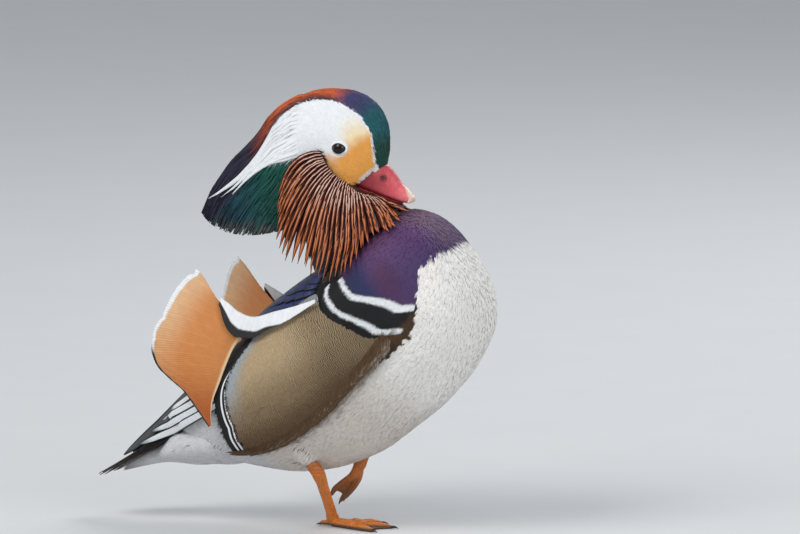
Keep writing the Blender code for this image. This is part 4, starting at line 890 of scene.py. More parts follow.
def lens(name, outline, inset, rings, count):
    closed = np.vstack([outline, outline[:1]])
    rim = smooth_path(np.column_stack([closed[:, 0], np.zeros(len(closed)), closed[:, 1]]), count + 1)[:-1]
    centre = np.array([HEAD_CENTRE[0], 0, HEAD_CENTRE[1]], float)
    outer = rim - centre
    rim = centre + outer * (1 - inset / np.linalg.norm(outer, axis=1, keepdims=True))
    shares = np.sin(np.linspace(0, math.pi / 2, rings + 1))
    layers = []
    for side in (-1, 1):
        for share in shares[1:-1] if side < 0 else shares[-1:0:-1]:
            ring = centre + (rim - centre) * share
            depth = (1 - share**2.6) ** 0.5
            ring[:, 1] = side * depth * (head_half_width(ring[:, 0], ring[:, 2]) - inset)
            layers.append(ring)
    top = float(head_half_width(*HEAD_CENTRE)) - inset
    return loft(name, layers, centre - (0, top, 0), centre + (0, top, 0))


def oval_rings(stations, sides, inset, count=14):
    places = np.array([station[0] for station in stations], float)[::-1]
    even = np.linspace(places[0], places[-1], count)
    low, high, half = (Curve(places, [s[k] for s in stations][::-1])(even) for k in (1, 2, 3))
    angles = np.linspace(0, 2 * math.pi, sides, endpoint=False)
    return [body_to_world(t, (h - inset) * np.sin(angles), (a + b) / 2 + ((b - a) / 2 - inset) * np.cos(angles))
            for t, a, b, h in zip(even, low, high, half)]


def oval_surface(stations):
    places = [station[0] for station in stations][::-1]
    low, high, half = (Curve(places, [station[k] for station in stations][::-1]) for k in (1, 2, 3))

    def point(t, angle):
        n = (low(t) + high(t)) / 2 + (high(t) - low(t)) / 2 * np.cos(angle)
        return body_to_world(t, -half(t) * np.sin(angle), n)

    def surface(t, degrees):
        angle = np.radians(degrees)
        along = point(t + 1, angle) - point(t - 1, angle)
        around = point(t, angle + 0.02) - point(t, angle - 0.02)
        return point(t, angle), unit(np.cross(around, along))

    return surface


def tube(name, path, count=30, sides=24, ends=0.0):
    """Oval rings along a smooth path of (place, half depth, half width)."""
    given = np.array([place for place, _, _ in path], float)
    at = np.concatenate([[0], np.cumsum(np.linalg.norm(np.diff(given, axis=0), axis=1))])
    even = np.linspace(0, at[-1], count)
    places = np.stack([Curve(at, column)(even) for column in given.T], axis=1)
    depths, widths = (Curve(at, [entry[k] for entry in path])(even) for k in (1, 2))
    ahead = unit(np.gradient(places, axis=0))
    forward = unit(np.cross((0, 1, 0), ahead))
    sideways = unit(np.cross(ahead, forward))
    angles = np.linspace(0, 2 * math.pi, sides, endpoint=False)
    rings = (places[:, None] + np.cos(angles)[None, :, None] * (depths[:, None] * forward)[:, None]
             + np.sin(angles)[None, :, None] * (widths[:, None] * sideways)[:, None])
    if ends:
        return loft(name, rings, places[0] - ahead[0] * ends, places[-1] + ahead[-1] * ends)
    return loft(name, rings)


# Materials.
class Nodes:
    """A material's nodes, added one by one."""

    def __init__(self, name):
        self.material = bpy.data.materials.new(name)
        self.material.use_nodes = True
        self.tree = self.material.node_tree
        self.shader = self.tree.nodes["Principled BSDF"]

    def add(self, kind, inputs=None, **settings):
        node = self.tree.nodes.new(kind)
        for key, value in settings.items():
            setattr(node, key, value)
        for key, value in (inputs or {}).items():
            self.put(node, key, value)
        return node

    def put(self, node, key, value):
        if isinstance(value, bpy.types.NodeSocket):
            self.tree.links.new(value, node.inputs[key])
        elif isinstance(value, bpy.types.Node):
            self.tree.links.new(value.outputs[0], node.inputs[key])
        else:
            node.inputs[key].default_value = value

    def shade(self, name="Shade"):
        return self.add("ShaderNodeAttribute", attribute_name=name).outputs["Color"]

    def value(self, name):
        return self.add("ShaderNodeAttribute", attribute_name=name).outputs["Fac"]

    def scaled(self, colour, factor):
        """A colour times a number."""
        return self.add("ShaderNodeVectorMath", {0: colour, "Scale": factor}, operation="SCALE").outputs[0]

    def math(self, operation, *values):
        return self.add("ShaderNodeMath", dict(enumerate(values)), operation=operation).outputs[0]

    def grain(self, size, detail=3.0, low=0.8, high=1.2, stretch=(1, 1, 1)):
        """Noise of the given size in millimetres, as a factor from low to high."""
        place = self.add("ShaderNodeTexCoord").outputs["Object"]
        mapped = self.add("ShaderNodeMapping", {"Vector": place, "Scale": stretch})
        noise = self.add("ShaderNodeTexNoise", {"Vector": mapped, "Scale": 1000 / size, "Detail": detail})
        spread = self.add("ShaderNodeMapRange", {"Value": noise.outputs["Fac"], "From Min": 0.3, "From Max": 0.7,
                                                 "To Min": low, "To Max": high})
        return spread.outputs[0]

    def wave(self, place, period, distortion, detail=2.0, rough=1.0, direction="X"):
        """Lines across a flat plan in millimetres, from 0 to 1."""
        made = self.add("ShaderNodeTexWave", {"Vector": place, "Scale": 0.31416 / period, "Distortion": distortion,
                                              "Detail": detail, "Detail Scale": rough}, bands_direction=direction)
        return made.outputs["Fac"]

    def plan(self, name="Place"):
        return self.add("ShaderNodeUVMap", uv_map=name).outputs["UV"]

    def done(self, colour, roughness, bump=None, strength=0.3, distance=0.0003, sheen=0.0, coat=0.0, specular=0.4,
             sheen_tint=(1, 1, 1, 1)):
        self.put(self.shader, "Base Color", colour)
        self.put(self.shader, "Roughness", roughness)
        self.shader.inputs["Specular IOR Level"].default_value = specular
        self.shader.inputs["Sheen Weight"].default_value = sheen
        self.shader.inputs["Sheen Tint"].default_value = sheen_tint
        self.shader.inputs["Coat Weight"].default_value = coat
        self.shader.inputs["Coat Roughness"].default_value = 0.12
        if bump is not None:
            made = self.add("ShaderNodeBump", {"Height": bump, "Strength": strength, "Distance": distance})
            self.put(self.shader, "Normal", made)
        return self.material


def plumage(name, roughness=0.62, barbs=30, specular=0.3, grain=1.4, bump=0.2, uneven=0.14, fine=0.05):
    """Coloured feathers with fine barbs slanting from the shaft to the edges."""
    nodes = Nodes(name)
    plan = nodes.add("ShaderNodeSeparateXYZ", {0: nodes.plan("Vane")})
    across = nodes.math("ABSOLUTE", nodes.math("SUBTRACT", plan.outputs["X"], 0.5))
    slant = nodes.math("SUBTRACT", plan.outputs["Y"], nodes.math("MULTIPLY", across, 0.6))
    lines = nodes.math("SINE", nodes.math("MULTIPLY", slant, barbs * 2 * math.pi))
    factor = nodes.math("MULTIPLY", nodes.grain(grain, low=1 - uneven, high=1 + uneven),
                        nodes.math("ADD", nodes.math("MULTIPLY", lines, fine), 1.0))
    colour = nodes.scaled(nodes.shade(), factor)
    return nodes.done(colour, roughness, lines, bump, 0.0001, specular=specular)


def vermiculated(name):
    """The sides: fine wavy dark lines over the feathers' own colours, with faint feather edges."""
    nodes = Nodes(name)
    plan = nodes.plan()
    warp = nodes.add("ShaderNodeTexNoise", {"Vector": plan, "Scale": 0.2, "Detail": 1.0})
    shifted = nodes.add("ShaderNodeVectorMath", {0: plan, 1: nodes.scaled(warp.outputs["Color"], 3.0)},
                        operation="ADD").outputs[0]
    lines = nodes.wave(shifted, 1.2, 1.6, 1.0, 0.6)
    sharp = nodes.add("ShaderNodeMapRange", {"Value": lines, "From Min": 0.35, "From Max": 0.8}).outputs[0]
    dark = nodes.math("MULTIPLY", sharp, nodes.value("Fine"))
    factor = nodes.math("MULTIPLY", nodes.grain(1.6, low=0.9, high=1.1),
                        nodes.math("SUBTRACT", 1.0, nodes.math("MULTIPLY", dark, 0.8)))
    ramp = nodes.add("ShaderNodeValToRGB", {"Fac": nodes.math("MULTIPLY", nodes.value("Rear"), 0.1)})
    stops = ramp.color_ramp.elements
    stops[0].color, stops[1].color = (0.006, 0.006, 0.008, 1), (0.2, 0.22, 0.24, 1)
    for place, tone in ((0.33, 0.006), (0.36, 0.8), (0.46, 0.8), (0.49, 0.006), (0.63, 0.006), (0.66, 0.75),
                        (0.75, 0.75), (0.78, 0.02), (0.86, 0.02)):
        stops.new(place).color = (tone, tone, tone * 1.03, 1)
    edge = nodes.add("ShaderNodeMapRange", {"Value": nodes.value("Rear"), "From Min": 9.6, "From Max": 8.4}).outputs[0]
    mask = nodes.math("MULTIPLY", edge, nodes.value("Bars"))
    plain = nodes.scaled(nodes.shade(), factor)
    mixed = nodes.tree.nodes.new("ShaderNodeMix")
    mixed.data_type = "RGBA"
    for key, value in ((0, mask), (6, plain), (7, ramp.outputs["Color"])):
        nodes.tree.links.new(value, mixed.inputs[key])
    return nodes.done(mixed.outputs[2], 0.6, nodes.grain(0.5, low=0, high=1), 0.05, 0.0002, specular=0.3)


FACE_LOOK = plumage("face plumage", roughness=0.6, grain=2.5, bump=0.05, uneven=0.04, fine=0.02)
BODY_LOOK = plumage("body plumage", bump=0.12, uneven=0.09)
GLOSSY_LOOK = plumage("glossy plumage", roughness=0.4, specular=0.45)
FLANK_LOOK = vermiculated("vermiculated flank")

# The skin: one surface under the whole coat.
SKIN_DEPTH = 1.2
VOXEL = 1.5
SMOOTHING = 6
RIGHT_THIGH = (((-7.5, -33.5, 45.5), 4.2, 3.6), ((-9.6, -33.7, 49.5), 6.6, 5.6), ((-12.6, -34, 54.5), 9.8, 7.6),
               ((-17.6, -34.5, 63.4), 13, 8.2))
LEFT_THIGH = (((10, 18.4, 44.2), 3.4, 2.6), ((12, 18.8, 48.5), 3.4, 2.6), ((16, 19.6, 57), 4, 3.2))
FLANK_LIFT, SHOULDER_LIFT = 3.1, 2.4
PAD_CLEAR = 1.9
FLANKS = {side: pad_surface(FLANK_FRONT, FLANK_REAR, PAD_CLEAR, FLANK_LIFT, side) for side in (-1, 1)}
SHOULDERS = {side: pad_surface(SHOULDER_TOP, SHOULDER_LOW, PAD_CLEAR, SHOULDER_LIFT, side) for side in (-1, 1)}
SIDES = ((-1, "right"), (1, "left"))


def skin():
    angles = np.linspace(0, 2 * math.pi, 120, endpoint=False)
    even = np.linspace(0, 1, 80)
    places = STATION_T[0] + (STATION_T[-1] - STATION_T[0]) * (even + np.sin(even * math.pi / 2)) / 2
    rings = [lifted_point(t, angles, np.full(120, -SKIN_DEPTH)) for t in places]
    shapes = [loft("skin", rings, body_to_world(STATION_T[0] - 2, 0, 46),
                   body_to_world(TORSO_FRONT[0] - SKIN_DEPTH, 0, TORSO_FRONT[1]))]
    heights = [section[0] for section in NECK_SECTIONS]
    rings = []
    for z in np.linspace(heights[0], heights[-1], 30):
        middle, length, width = (Curve(heights, [s[i] for s in NECK_SECTIONS])(z) for i in (1, 2, 3))
        rings.append(np.column_stack([middle + (length - 1) * np.cos(angles), (width - 1) * np.sin(angles),
                                      np.full(120, z)]))
    shapes.append(loft("neck form", rings))
    shapes.append(lens("head form", np.array(HEAD_OUTLINE, float), 1.0, 16, 110))
    rings = [crest_point(angles, share) for share in np.linspace(0, 0.5, 16)]
    inner = []
    for ring in rings:
        centre = ring.mean(axis=0)
        inner.append(centre + (ring - centre) * 0.86)
    inner.append(inner[-1].mean(axis=0) + (inner[-1] - inner[-1].mean(axis=0)) * 0.6 + (-4, 0, -5))
    shapes.append(loft("crest form", inner))
    for name, stations in (("vent form", VENT_STATIONS), ("tail form", TAIL_STATIONS)):
        shapes.append(loft(name, oval_rings(stations, 60, 1.0)))
    shapes.append(tube("thigh form", RIGHT_THIGH, ends=1.0))
    for side, label in SIDES:
        shapes.append(pad_shape(f"flank form {label}", lambda u, v, lift=0.0, s=side: FLANKS[s](u, v, lift - 1.2),
                                FLANK_LIFT))
        shapes.append(pad_shape(f"shoulder form {label}",
                                lambda u, v, lift=0.0, s=side: SHOULDERS[s](u, v, lift - 1.2), SHOULDER_LIFT))
    return merged("skin", shapes, VOXEL, SMOOTHING)


def bill_side(points, margin=0.0):
    """Whether places of the side view lie on the bill's side of the line where feathers end."""
    x, y, z = points.T
    beyond = side_of(BILL_BASE, np.column_stack([x, z])) > -margin
    return beyond & (x > 13) & (z < 244 + margin) & (z > 219) & (np.abs(y) < 16)


def uncover_bill(made):
    """Draws the skin in to the bill's own width where the bill has no feathers."""
    points = points_of(made)
    half = np.interp(points[:, 0], (12, 28, 36, 50), (8.2, 8.0, 7.0, 4.5))
    chosen = bill_side(points) & (np.abs(points[:, 1]) > half - 1.2)
    points[chosen, 1] = np.sign(points[chosen, 1]) * (half[chosen] - 1.2)
    made.data.vertices.foreach_set("co", to_frame(points).astype(np.float32).ravel())
    made.data.update()


def is_head(points):
    x, _, z = points.T
    return (z > 213) & (head_share(x, z) < 1.08)


def plumage_colour(points, wobble=0.0):
    head, _ = head_colour(points, wobble)
    body = torso_colour(points, wobble)
    x, _, z = points.T
    # Painted shade: the neck under the ruff takes the hackles' gap shade, turning to the crest's teal towards the rear.
    neck = ease(188, 204, z) * (z < 240) * ease(34, 22, x)
    body = mix(body, mix(RUFF_GAP_SHADE, CREST_TEAL, ease(-6, -26, x)), neck)
    t, n, angle = torso_place(points)
    vent = ease(-100, -110, t) * (n < 44)
    body = mix(body, VENT_GREY, vent)
    return np.where((is_head(points) | (x < -24) & (z > 192))[:, None], head, body)


SKIN = skin()
uncover_bill(SKIN)
SKIN_POINTS = points_of(SKIN)
# The skin is painted 6 % darker than the feathers over it: painted shade in the gaps between them.
attribute(SKIN, "Shade", plumage_colour(SKIN_POINTS) * 0.94)
skin_unwrap(SKIN)
uv_map(SKIN, "Vane", np.full((len(SKIN_POINTS), 2), 0.5))
SKIN_TREE = BVHTree.FromObject(SKIN, bpy.context.evaluated_depsgraph_get())
finish_piece(SKIN, BODY_LOOK, "body_feathers", ("torso", "neck", "head", "thigh_right", "undertail"))


# The short coat of the head and the body.
def body_flow(points, normals):
    x, _, z = points.T
    t, n = world_to_body(x, z)
    rearward = -np.array([math.cos(BODY_TILT), 0, math.sin(BODY_TILT)])
    front = ease(62, 104, t)[:, None] * 2.2
    flow = rearward + np.array([-0.1, 0, -1]) * front
    flow = flow + np.column_stack([np.zeros(len(t)), np.sign(points[:, 1]) * 0.25 * ease(60, 100, t), np.zeros(len(t))])
    neck = ease(172, 190, z)[:, None]
    flow = flow * (1 - neck) + np.array([-0.35, 0, -1]) * neck
    thigh = ((z < 66) & (points[:, 1] < -24) & (n < -30))[:, None]
    return np.where(thigh, np.array([0.35, 0, -1.0]), flow)


def head_flow(points, normals):
    away = points - np.array([34, 0, 234])
    away[:, 1] *= 0.4
    return unit(away) + np.array([-0.35, 0, 0])


def coat(name, roots, normals, flow, length, width, lifts, look, slot, seed, colour=plumage_colour,
         shares=(0, 0.5, 1), widths=(0.5, 1, 0.14), thickness=0.22, jitter=0.1, wobble=0.4, spread=0.12, soft=0.7):
    """Small feathers over the skin, each coloured by where its parts lie."""
    rng = np.random.default_rng(seed)
    count = len(roots)
    flow = along_skin(flow + rng.normal(size=(count, 3)) * jitter, normals)
    lengths = length * rng.uniform(0.78, 1.22, count)
    centres, ups = follow(SKIN_TREE, roots, normals, flow, lengths, shares)
    rises = np.array(lifts) * rng.uniform(0.7, 1.3, (count, 1))
    centres = centres + ups * rises[..., None]
    half = np.asarray(width) / 2 * (rng.uniform(0.8, 1.2, (count, 1)) * np.array(widths))
    shades = colour(centres.reshape(-1, 3), np.repeat(rng.normal(size=count) * wobble, len(shares)))
    shades = shades.reshape(count, len(shares), 3) * rng.uniform(1 - spread, 1 + spread, (count, 1, 1))
    made = strips(name, centres, ups, half, thickness, shades, unwrap(roots), soft=soft)
    return finish_piece(made, look, slot)


HEAD_AREA = part_of(SKIN, is_head, "head area")
ROOTS, NORMALS = scatter(HEAD_AREA, 0.8, SEED)
remove([HEAD_AREA])
X, Y, Z = ROOTS.T
NEAR_EYE = np.hypot((X - EYE[0]) / 1.05, Z - EYE[2]) < 4.6
COVERED = (X < -30) & (head_share(X, Z) > 0.7) | (Z < 224) & (X < 24)
KEEP = ~NEAR_EYE & ~COVERED
KEEP &= ~bill_side(ROOTS, 0.6)
FACE = head_colour(ROOTS)[1]
coat("face_coat", ROOTS[KEEP & FACE], NORMALS[KEEP & FACE], head_flow(ROOTS, NORMALS)[KEEP & FACE], 3.4, 1.0,
     (-0.08, 0.12, 0.22), FACE_LOOK, "head_feathers", SEED + 1, thickness=0.07, wobble=0.12, spread=0.025, jitter=0.05,
     soft=0.92)
coat("crown_coat", ROOTS[KEEP & ~FACE], NORMALS[KEEP & ~FACE], head_flow(ROOTS, NORMALS)[KEEP & ~FACE], 5.5, 0.75,
     (-0.15, 0.2, 0.36), GLOSSY_LOOK, "head_feathers", SEED + 1, thickness=0.14, wobble=0.3, spread=0.3, jitter=0.06,
     soft=0.5)

ROOTS, NORMALS = scatter(SKIN, 1.5, SEED + 2)
T, N, ANGLE = torso_place(ROOTS)
ON_FLANK = inside_outline(FLANK_FRONT + FLANK_REAR[::-1], np.column_stack([T, ANGLE]))
HIDDEN = ON_FLANK & (np.abs(ROOTS[:, 1]) > 20) | is_head(ROOTS) & (ROOTS[:, 2] > 220)
HIDDEN |= (ROOTS[:, 0] < -22) & (ROOTS[:, 2] > 198)
BELLY_SIDE = (N < Curve(*zip(*BELLY_EDGE))(T) + 2) | (T < -104) & (N < 46)
BARRED = (T > 14) & (T < 84) & (ANGLE > 36) & (ANGLE < 112) & (ROOTS[:, 2] < 190)
for label, chosen, length in (("breast", ~HIDDEN & ~BELLY_SIDE & ~BARRED, 7.0),
                              ("belly", ~HIDDEN & BELLY_SIDE & ~BARRED, 8.5)):
    coat(f"{label}_coat", ROOTS[chosen], NORMALS[chosen], body_flow(ROOTS, NORMALS)[chosen], length, 2.3,
         (-0.2, 0.2, 0.36), BODY_LOOK, "body_feathers", SEED + 3, thickness=0.11, spread=0.045, wobble=0.3, soft=0.88)


def is_barred(points):
    t, _, angle = torso_place(points)
    return (t > 14) & (t < 84) & (angle > 36) & (angle < 112) & (points[:, 2] < 190)


BAR_AREA = part_of(SKIN, is_barred, "bar area")
ROOTS, NORMALS = scatter(BAR_AREA, 0.8, SEED + 4)
remove([BAR_AREA])
T, N, ANGLE = torso_place(ROOTS)
CLEAR = ~(inside_outline(FLANK_FRONT + FLANK_REAR[::-1], np.column_stack([T, ANGLE])))
coat("shoulder_coat", ROOTS[CLEAR], NORMALS[CLEAR], body_flow(ROOTS, NORMALS)[CLEAR], 3.0, 1.1,
     (-0.12, 0.12, 0.28), BODY_LOOK, "body_feathers", SEED + 5, thickness=0.1, spread=0.05, wobble=0.06,
     jitter=0.05, soft=0.85)


# Feathers laid out in rows on a surface with places of its own.
LEAF = ((0, 0.2, 0.45, 0.7, 0.88, 1), (0.45, 0.9, 1, 0.9, 0.62, 0.16))
LANCE = ((0, 0.15, 0.35, 0.55, 0.75, 0.9, 1), (0.9, 1, 1, 1, 0.85, 0.5, 0.05))
BRUSH = ((0, 0.12, 0.3, 0.5, 0.7, 0.86, 1), (0.4, 0.9, 1, 1, 0.95, 0.7, 0.15))
THREAD = ((0, 0.12, 0.3, 0.5, 0.7, 0.86, 1), (0.4, 0.9, 1, 0.95, 0.8, 0.5, 0.05))
VANE_PROFILE = ((-1, 0, 0), (-0.5, 0.7, 0), (0, 1, 1), (0.5, 0.7, 0), (1, 0, 0))
SHAFT_PROFILE = ((-1, 0, 0), (-0.2, 0.75, 0.05), (0, 1, 1), (0.2, 0.75, 0.05), (1, 0, 0))
# The hackles' edges show the rim colour, painted shade of the gaps between them.
HACKLE_PROFILE = ((-1, 0, -1), (-0.66, 0.3, -0.85), (-0.3, 0.75, 0), (0, 1, 1), (0.3, 0.75, 0), (0.66, 0.3, -0.85),
                  (1, 0, -1))


def rise_along(shares, low, high, risen_by=0.3):
    return low + (high - low) * np.minimum(np.asarray(shares) / risen_by, 1)


def flank_colour(u, v):
    """Colours of the sides and how strong their fine lines are."""
    width = np.interp(u, (0, 0.25, 0.5, 0.75, 1), (58, 75, 96, 116, 139))
    from_rear = (1 - v) * width
    shades = mix(TAN, FLANK_BROWN, ease(0.4, 0.9, u) * 0.92)
    shades = mix(shades, FLANK_BROWN, ease(0.35, 0.0, v) * 0.45)
    shades = mix(shades, TAN * 0.8, ease(0.3, 0.0, v) * 0.5)
    grey = ease(26, 10, from_rear) * ease(0.75, 0.45, u)
    grey = np.maximum(grey, ease(0.16, 0.02, u) * 0.8)
    shades = mix(shades, FLANK_GREY, grey)
    fine = np.clip(0.22 + 0.6 * ease(0.45, 0.95, u) + 0.75 * ease(0.5, 0.1, v) - 0.2 * grey, 0, 1)
    lines = from_rear - np.interp(u, (0, 0.3, 0.55, 0.8), (1.5, 1.2, 0.8, 0))
    return shades, fine, lines, ease(1.02, 0.97, u) * ease(-0.1, 0.3, lines + 4)


def flank_base(side, label):
    """The smooth body of the side under its feathers, with the black and white lines of its rear edge."""
    u, v = np.meshgrid(np.linspace(0, 1, 120), 1 - np.linspace(1, 0, 150) ** 1.6, indexing="ij")
    depths = (0.4 + 0.6 * ease(0.86, 1, v), np.full(u.shape, -2.2))
    made = slab(f"flank_base_{label}", *(FLANKS[side](u, v, depth) for depth in depths))
    u, v = np.tile(u.ravel(), 2), np.tile(v.ravel(), 2)
    shades, fine, from_rear, bars = flank_colour(u, v)
    attribute(made, "Shade", shades)
    for name, values in (("Fine", fine), ("Rear", from_rear), ("Bars", bars)):
        attribute(made, name, values, "FLOAT")
    width = np.interp(u, (0, 0.25, 0.5, 0.75, 1), (58, 75, 96, 116, 139))
    uv_map(made, "Place", np.column_stack([v * width, u * 90]))
    uv_map(made, "OFBake", unwrap(points_of(made)))
    finish_piece(made, FLANK_LOOK, "flank_feathers")


def flank(side, label):
    rng = np.random.default_rng(SEED + 10)
    roots = []
    rows = 30
    for row in range(rows):
        v = -0.04 + 0.93 * row / (rows - 1)
        count = int(np.interp(v, (0, 1), (34, 52)))
        u = (np.arange(count) + 0.5 * (row % 2) + rng.uniform(-0.25, 0.25, count)) / count
        roots.append(np.column_stack([u, np.full(count, v) + rng.uniform(-0.012, 0.012, count)]))
    roots = np.concatenate(roots)
    shares = np.array(LEAF[0])
    count = len(roots)
    width = np.interp(roots[:, 0], (0, 0.25, 0.5, 0.75, 1), (58, 75, 96, 116, 139))
    lengths = rng.uniform(10.5, 14, count) / width
    v = np.minimum(np.maximum(roots[:, 1:] + lengths[:, None] * shares, -0.02),
                   1 - np.interp(roots[:, :1], (0, 0.3, 0.55, 0.8), (10.3, 10, 9.6, 8.8)) / width[:, None])
    u = np.clip(roots[:, :1] + rng.normal(size=(count, 1)) * 0.003 * shares, 0, 1)
    u = np.broadcast_to(u, v.shape)
    lifts = rise_along(shares, -0.2, 0.75, 0.6) * rng.uniform(0.9, 1.1, (count, 1))
    centres = FLANKS[side](u, v, lifts)
    ups = unit(FLANKS[side](u, v, lifts + 1) - centres)
    half = 2.7 * rng.uniform(0.85, 1.15, (count, 1)) * np.array(LEAF[1])
    shades, fine, from_rear, bars = flank_colour(u, np.clip(v, 0, 1) + rng.normal(size=(count, 1)) * 0.002)
    shades = shades * rng.uniform(0.96, 1.04, (count, 1, 1))
    made = strips(f"flank_feathers_{label}", centres, ups, half, 0.16, shades, unwrap(centres[:, 0]), profile=VANE_PROFILE,
                  soft=0.9)
    columns = len(VANE_PROFILE)
    for name, values in (("Fine", fine), ("Rear", from_rear), ("Bars", bars)):
        attribute(made, name, np.repeat(values.ravel(), columns), "FLOAT")
    place = np.stack([v * width[:, None], u * 90], axis=-1)
    place = place + rng.uniform(-0.25, 0.25, (count, 1, 2))
    over = np.array([p[0] for p in VANE_PROFILE])
    bowed = np.repeat(place[:, :, None], columns, axis=2)
    bowed[..., 0] += 0.45 * over * over
    bowed[..., 1] += over * half[..., None]
    uv_map(made, "Place", bowed.reshape(-1, 2))
    finish_piece(made, FLANK_LOOK, "flank_feathers", (f"flank_{label}",))


def fringe(side, label):
    """Brown and pale hairs over the lower edge of the side, down onto the belly."""
    rng = np.random.default_rng(SEED + 12)
    count = 4200
    place = rng.uniform(0, 1, (count, 1))
    edge = 100 + 19 * place
    shares = np.array((0, 0.3, 0.65, 1))
    begin = -rng.uniform(0, 7, (count, 1)) * np.where(rng.uniform(size=(count, 1)) < 0.5, 1, 0.2)
    angle = edge + begin + rng.uniform(1.5, 5, (count, 1)) * shares
    t = 53 - 139 * place - rng.uniform(4, 8, (count, 1)) * shares
    lift = np.interp(angle - edge, (-7, -2, 0.5, 3, 7), (4.6, 3.9, 3.0, 1.4, 0.7)) * rng.uniform(0.9, 1.1, (count, 1))
    centres = lifted_point(t, np.radians(angle), lift) * (1, -side, 1)
    ups = unit(lifted_point(t, np.radians(angle), lift + 1) * (1, -side, 1) - centres)
    half = 0.3 * rng.uniform(0.7, 1.2, (count, 1)) * np.array((0.6, 1, 0.8, 0.1))
    pale = ease(-2, 7, angle - edge + rng.normal(size=(count, 1)) * 1.6) * 0.9
    # The pale hairs take the belly's painted shade grey.
    shades = mix(FLANK_BROWN, BELLY_SHADE_GREY * 0.95, pale)
    shades = shades * rng.uniform(0.85, 1.1, (count, 1, 1))
    made = strips(f"fringe_{label}", centres, ups, half, 0.12, shades, unwrap(centres[:, 0]), soft=0.7)
    finish_piece(made, BODY_LOOK, "flank_feathers")


def shoulder(side, label):
    """Rounded scaly feathers, blue with black edges."""
    rng = np.random.default_rng(SEED + 11)
    places = []
    rows = 8
    for row in range(rows):
        v_end = 0.16 + 0.84 * row / (rows - 1)
        count = 5
        across = (np.arange(count + row % 2) + 0.5 - 0.5 * (row % 2)) / count
        places += [(np.clip(a + rng.uniform(-0.03, 0.03), 0.02, 0.98), v_end) for a in across]
    places = np.array(places)
    shares = np.array((0, 0.3, 0.55, 0.76, 0.9, 0.97, 1))
    wide = np.array((0.3, 0.8, 1, 0.92, 0.66, 0.4, 0.12))
    u = places[:, 1:] - 0.24 * (1 - shares)
    v = np.broadcast_to(places[:, :1], u.shape)
    lifts = np.broadcast_to(rise_along(shares, -1.2, 0.6, 0.6), u.shape)
    centres = SHOULDERS[side](np.clip(u, -0.02, 1), v, lifts)
    ups = unit(SHOULDERS[side](np.clip(u, -0.02, 1), v, lifts + 1) - centres)
    half = 4.3 * rng.uniform(0.9, 1.1, (len(u), 1)) * wide
    blue = mix(SHOULDER_BLUE, MANTLE * 0.6, ease(0.6, 0.05, v) * 0.7)
    edge = ease(0.7, 0.92, shares)[None, :, None]
    shades = blue * (1 - edge) + BLACK * edge
    profile = ((-1, 0, 1), (-0.78, 0.3, 1), (-0.6, 0.5, 0.1), (0, 1, 0), (0.6, 0.5, 0.1), (0.78, 0.3, 1), (1, 0, 1))
    dark = np.broadcast_to(BLACK, shades.shape)
    made = strips(f"scapular_feathers_{label}", centres, ups, half, 0.4, (shades, dark), unwrap(centres[:, 0]),
                  profile=profile)
    finish_piece(made, GLOSSY_LOOK, "scapular_feathers", (f"scapulars_{label}",))


for SIDE, LABEL in SIDES:
    flank_base(SIDE, LABEL)
    flank(SIDE, LABEL)
    fringe(SIDE, LABEL)
    shoulder(SIDE, LABEL)


# The crest: fine strands laid back over the head.
def strand_set(rng, count, angles, starts, lengths, lifts, width, shape, drift=3.0):
    shares = np.array(shape[0])
    angle = angles[:, None] + rng.normal(size=(count, 1)) * drift * shares
    share = np.clip(starts[:, None] + lengths[:, None] * shares, 0, 1.0)
    turn = np.radians(angle)
    normal = crest_normal(turn, share)
    lift = rise_along(shares, lifts[0], lifts[1], 0.35) + rng.uniform(-0.35, 0.35, (count, 1))
    centres = crest_point(turn, share) + normal * lift[..., None]
    half = width / 2 * rng.uniform(0.75, 1.25, (count, 1)) * np.array(shape[1])
    return centres, normal, half


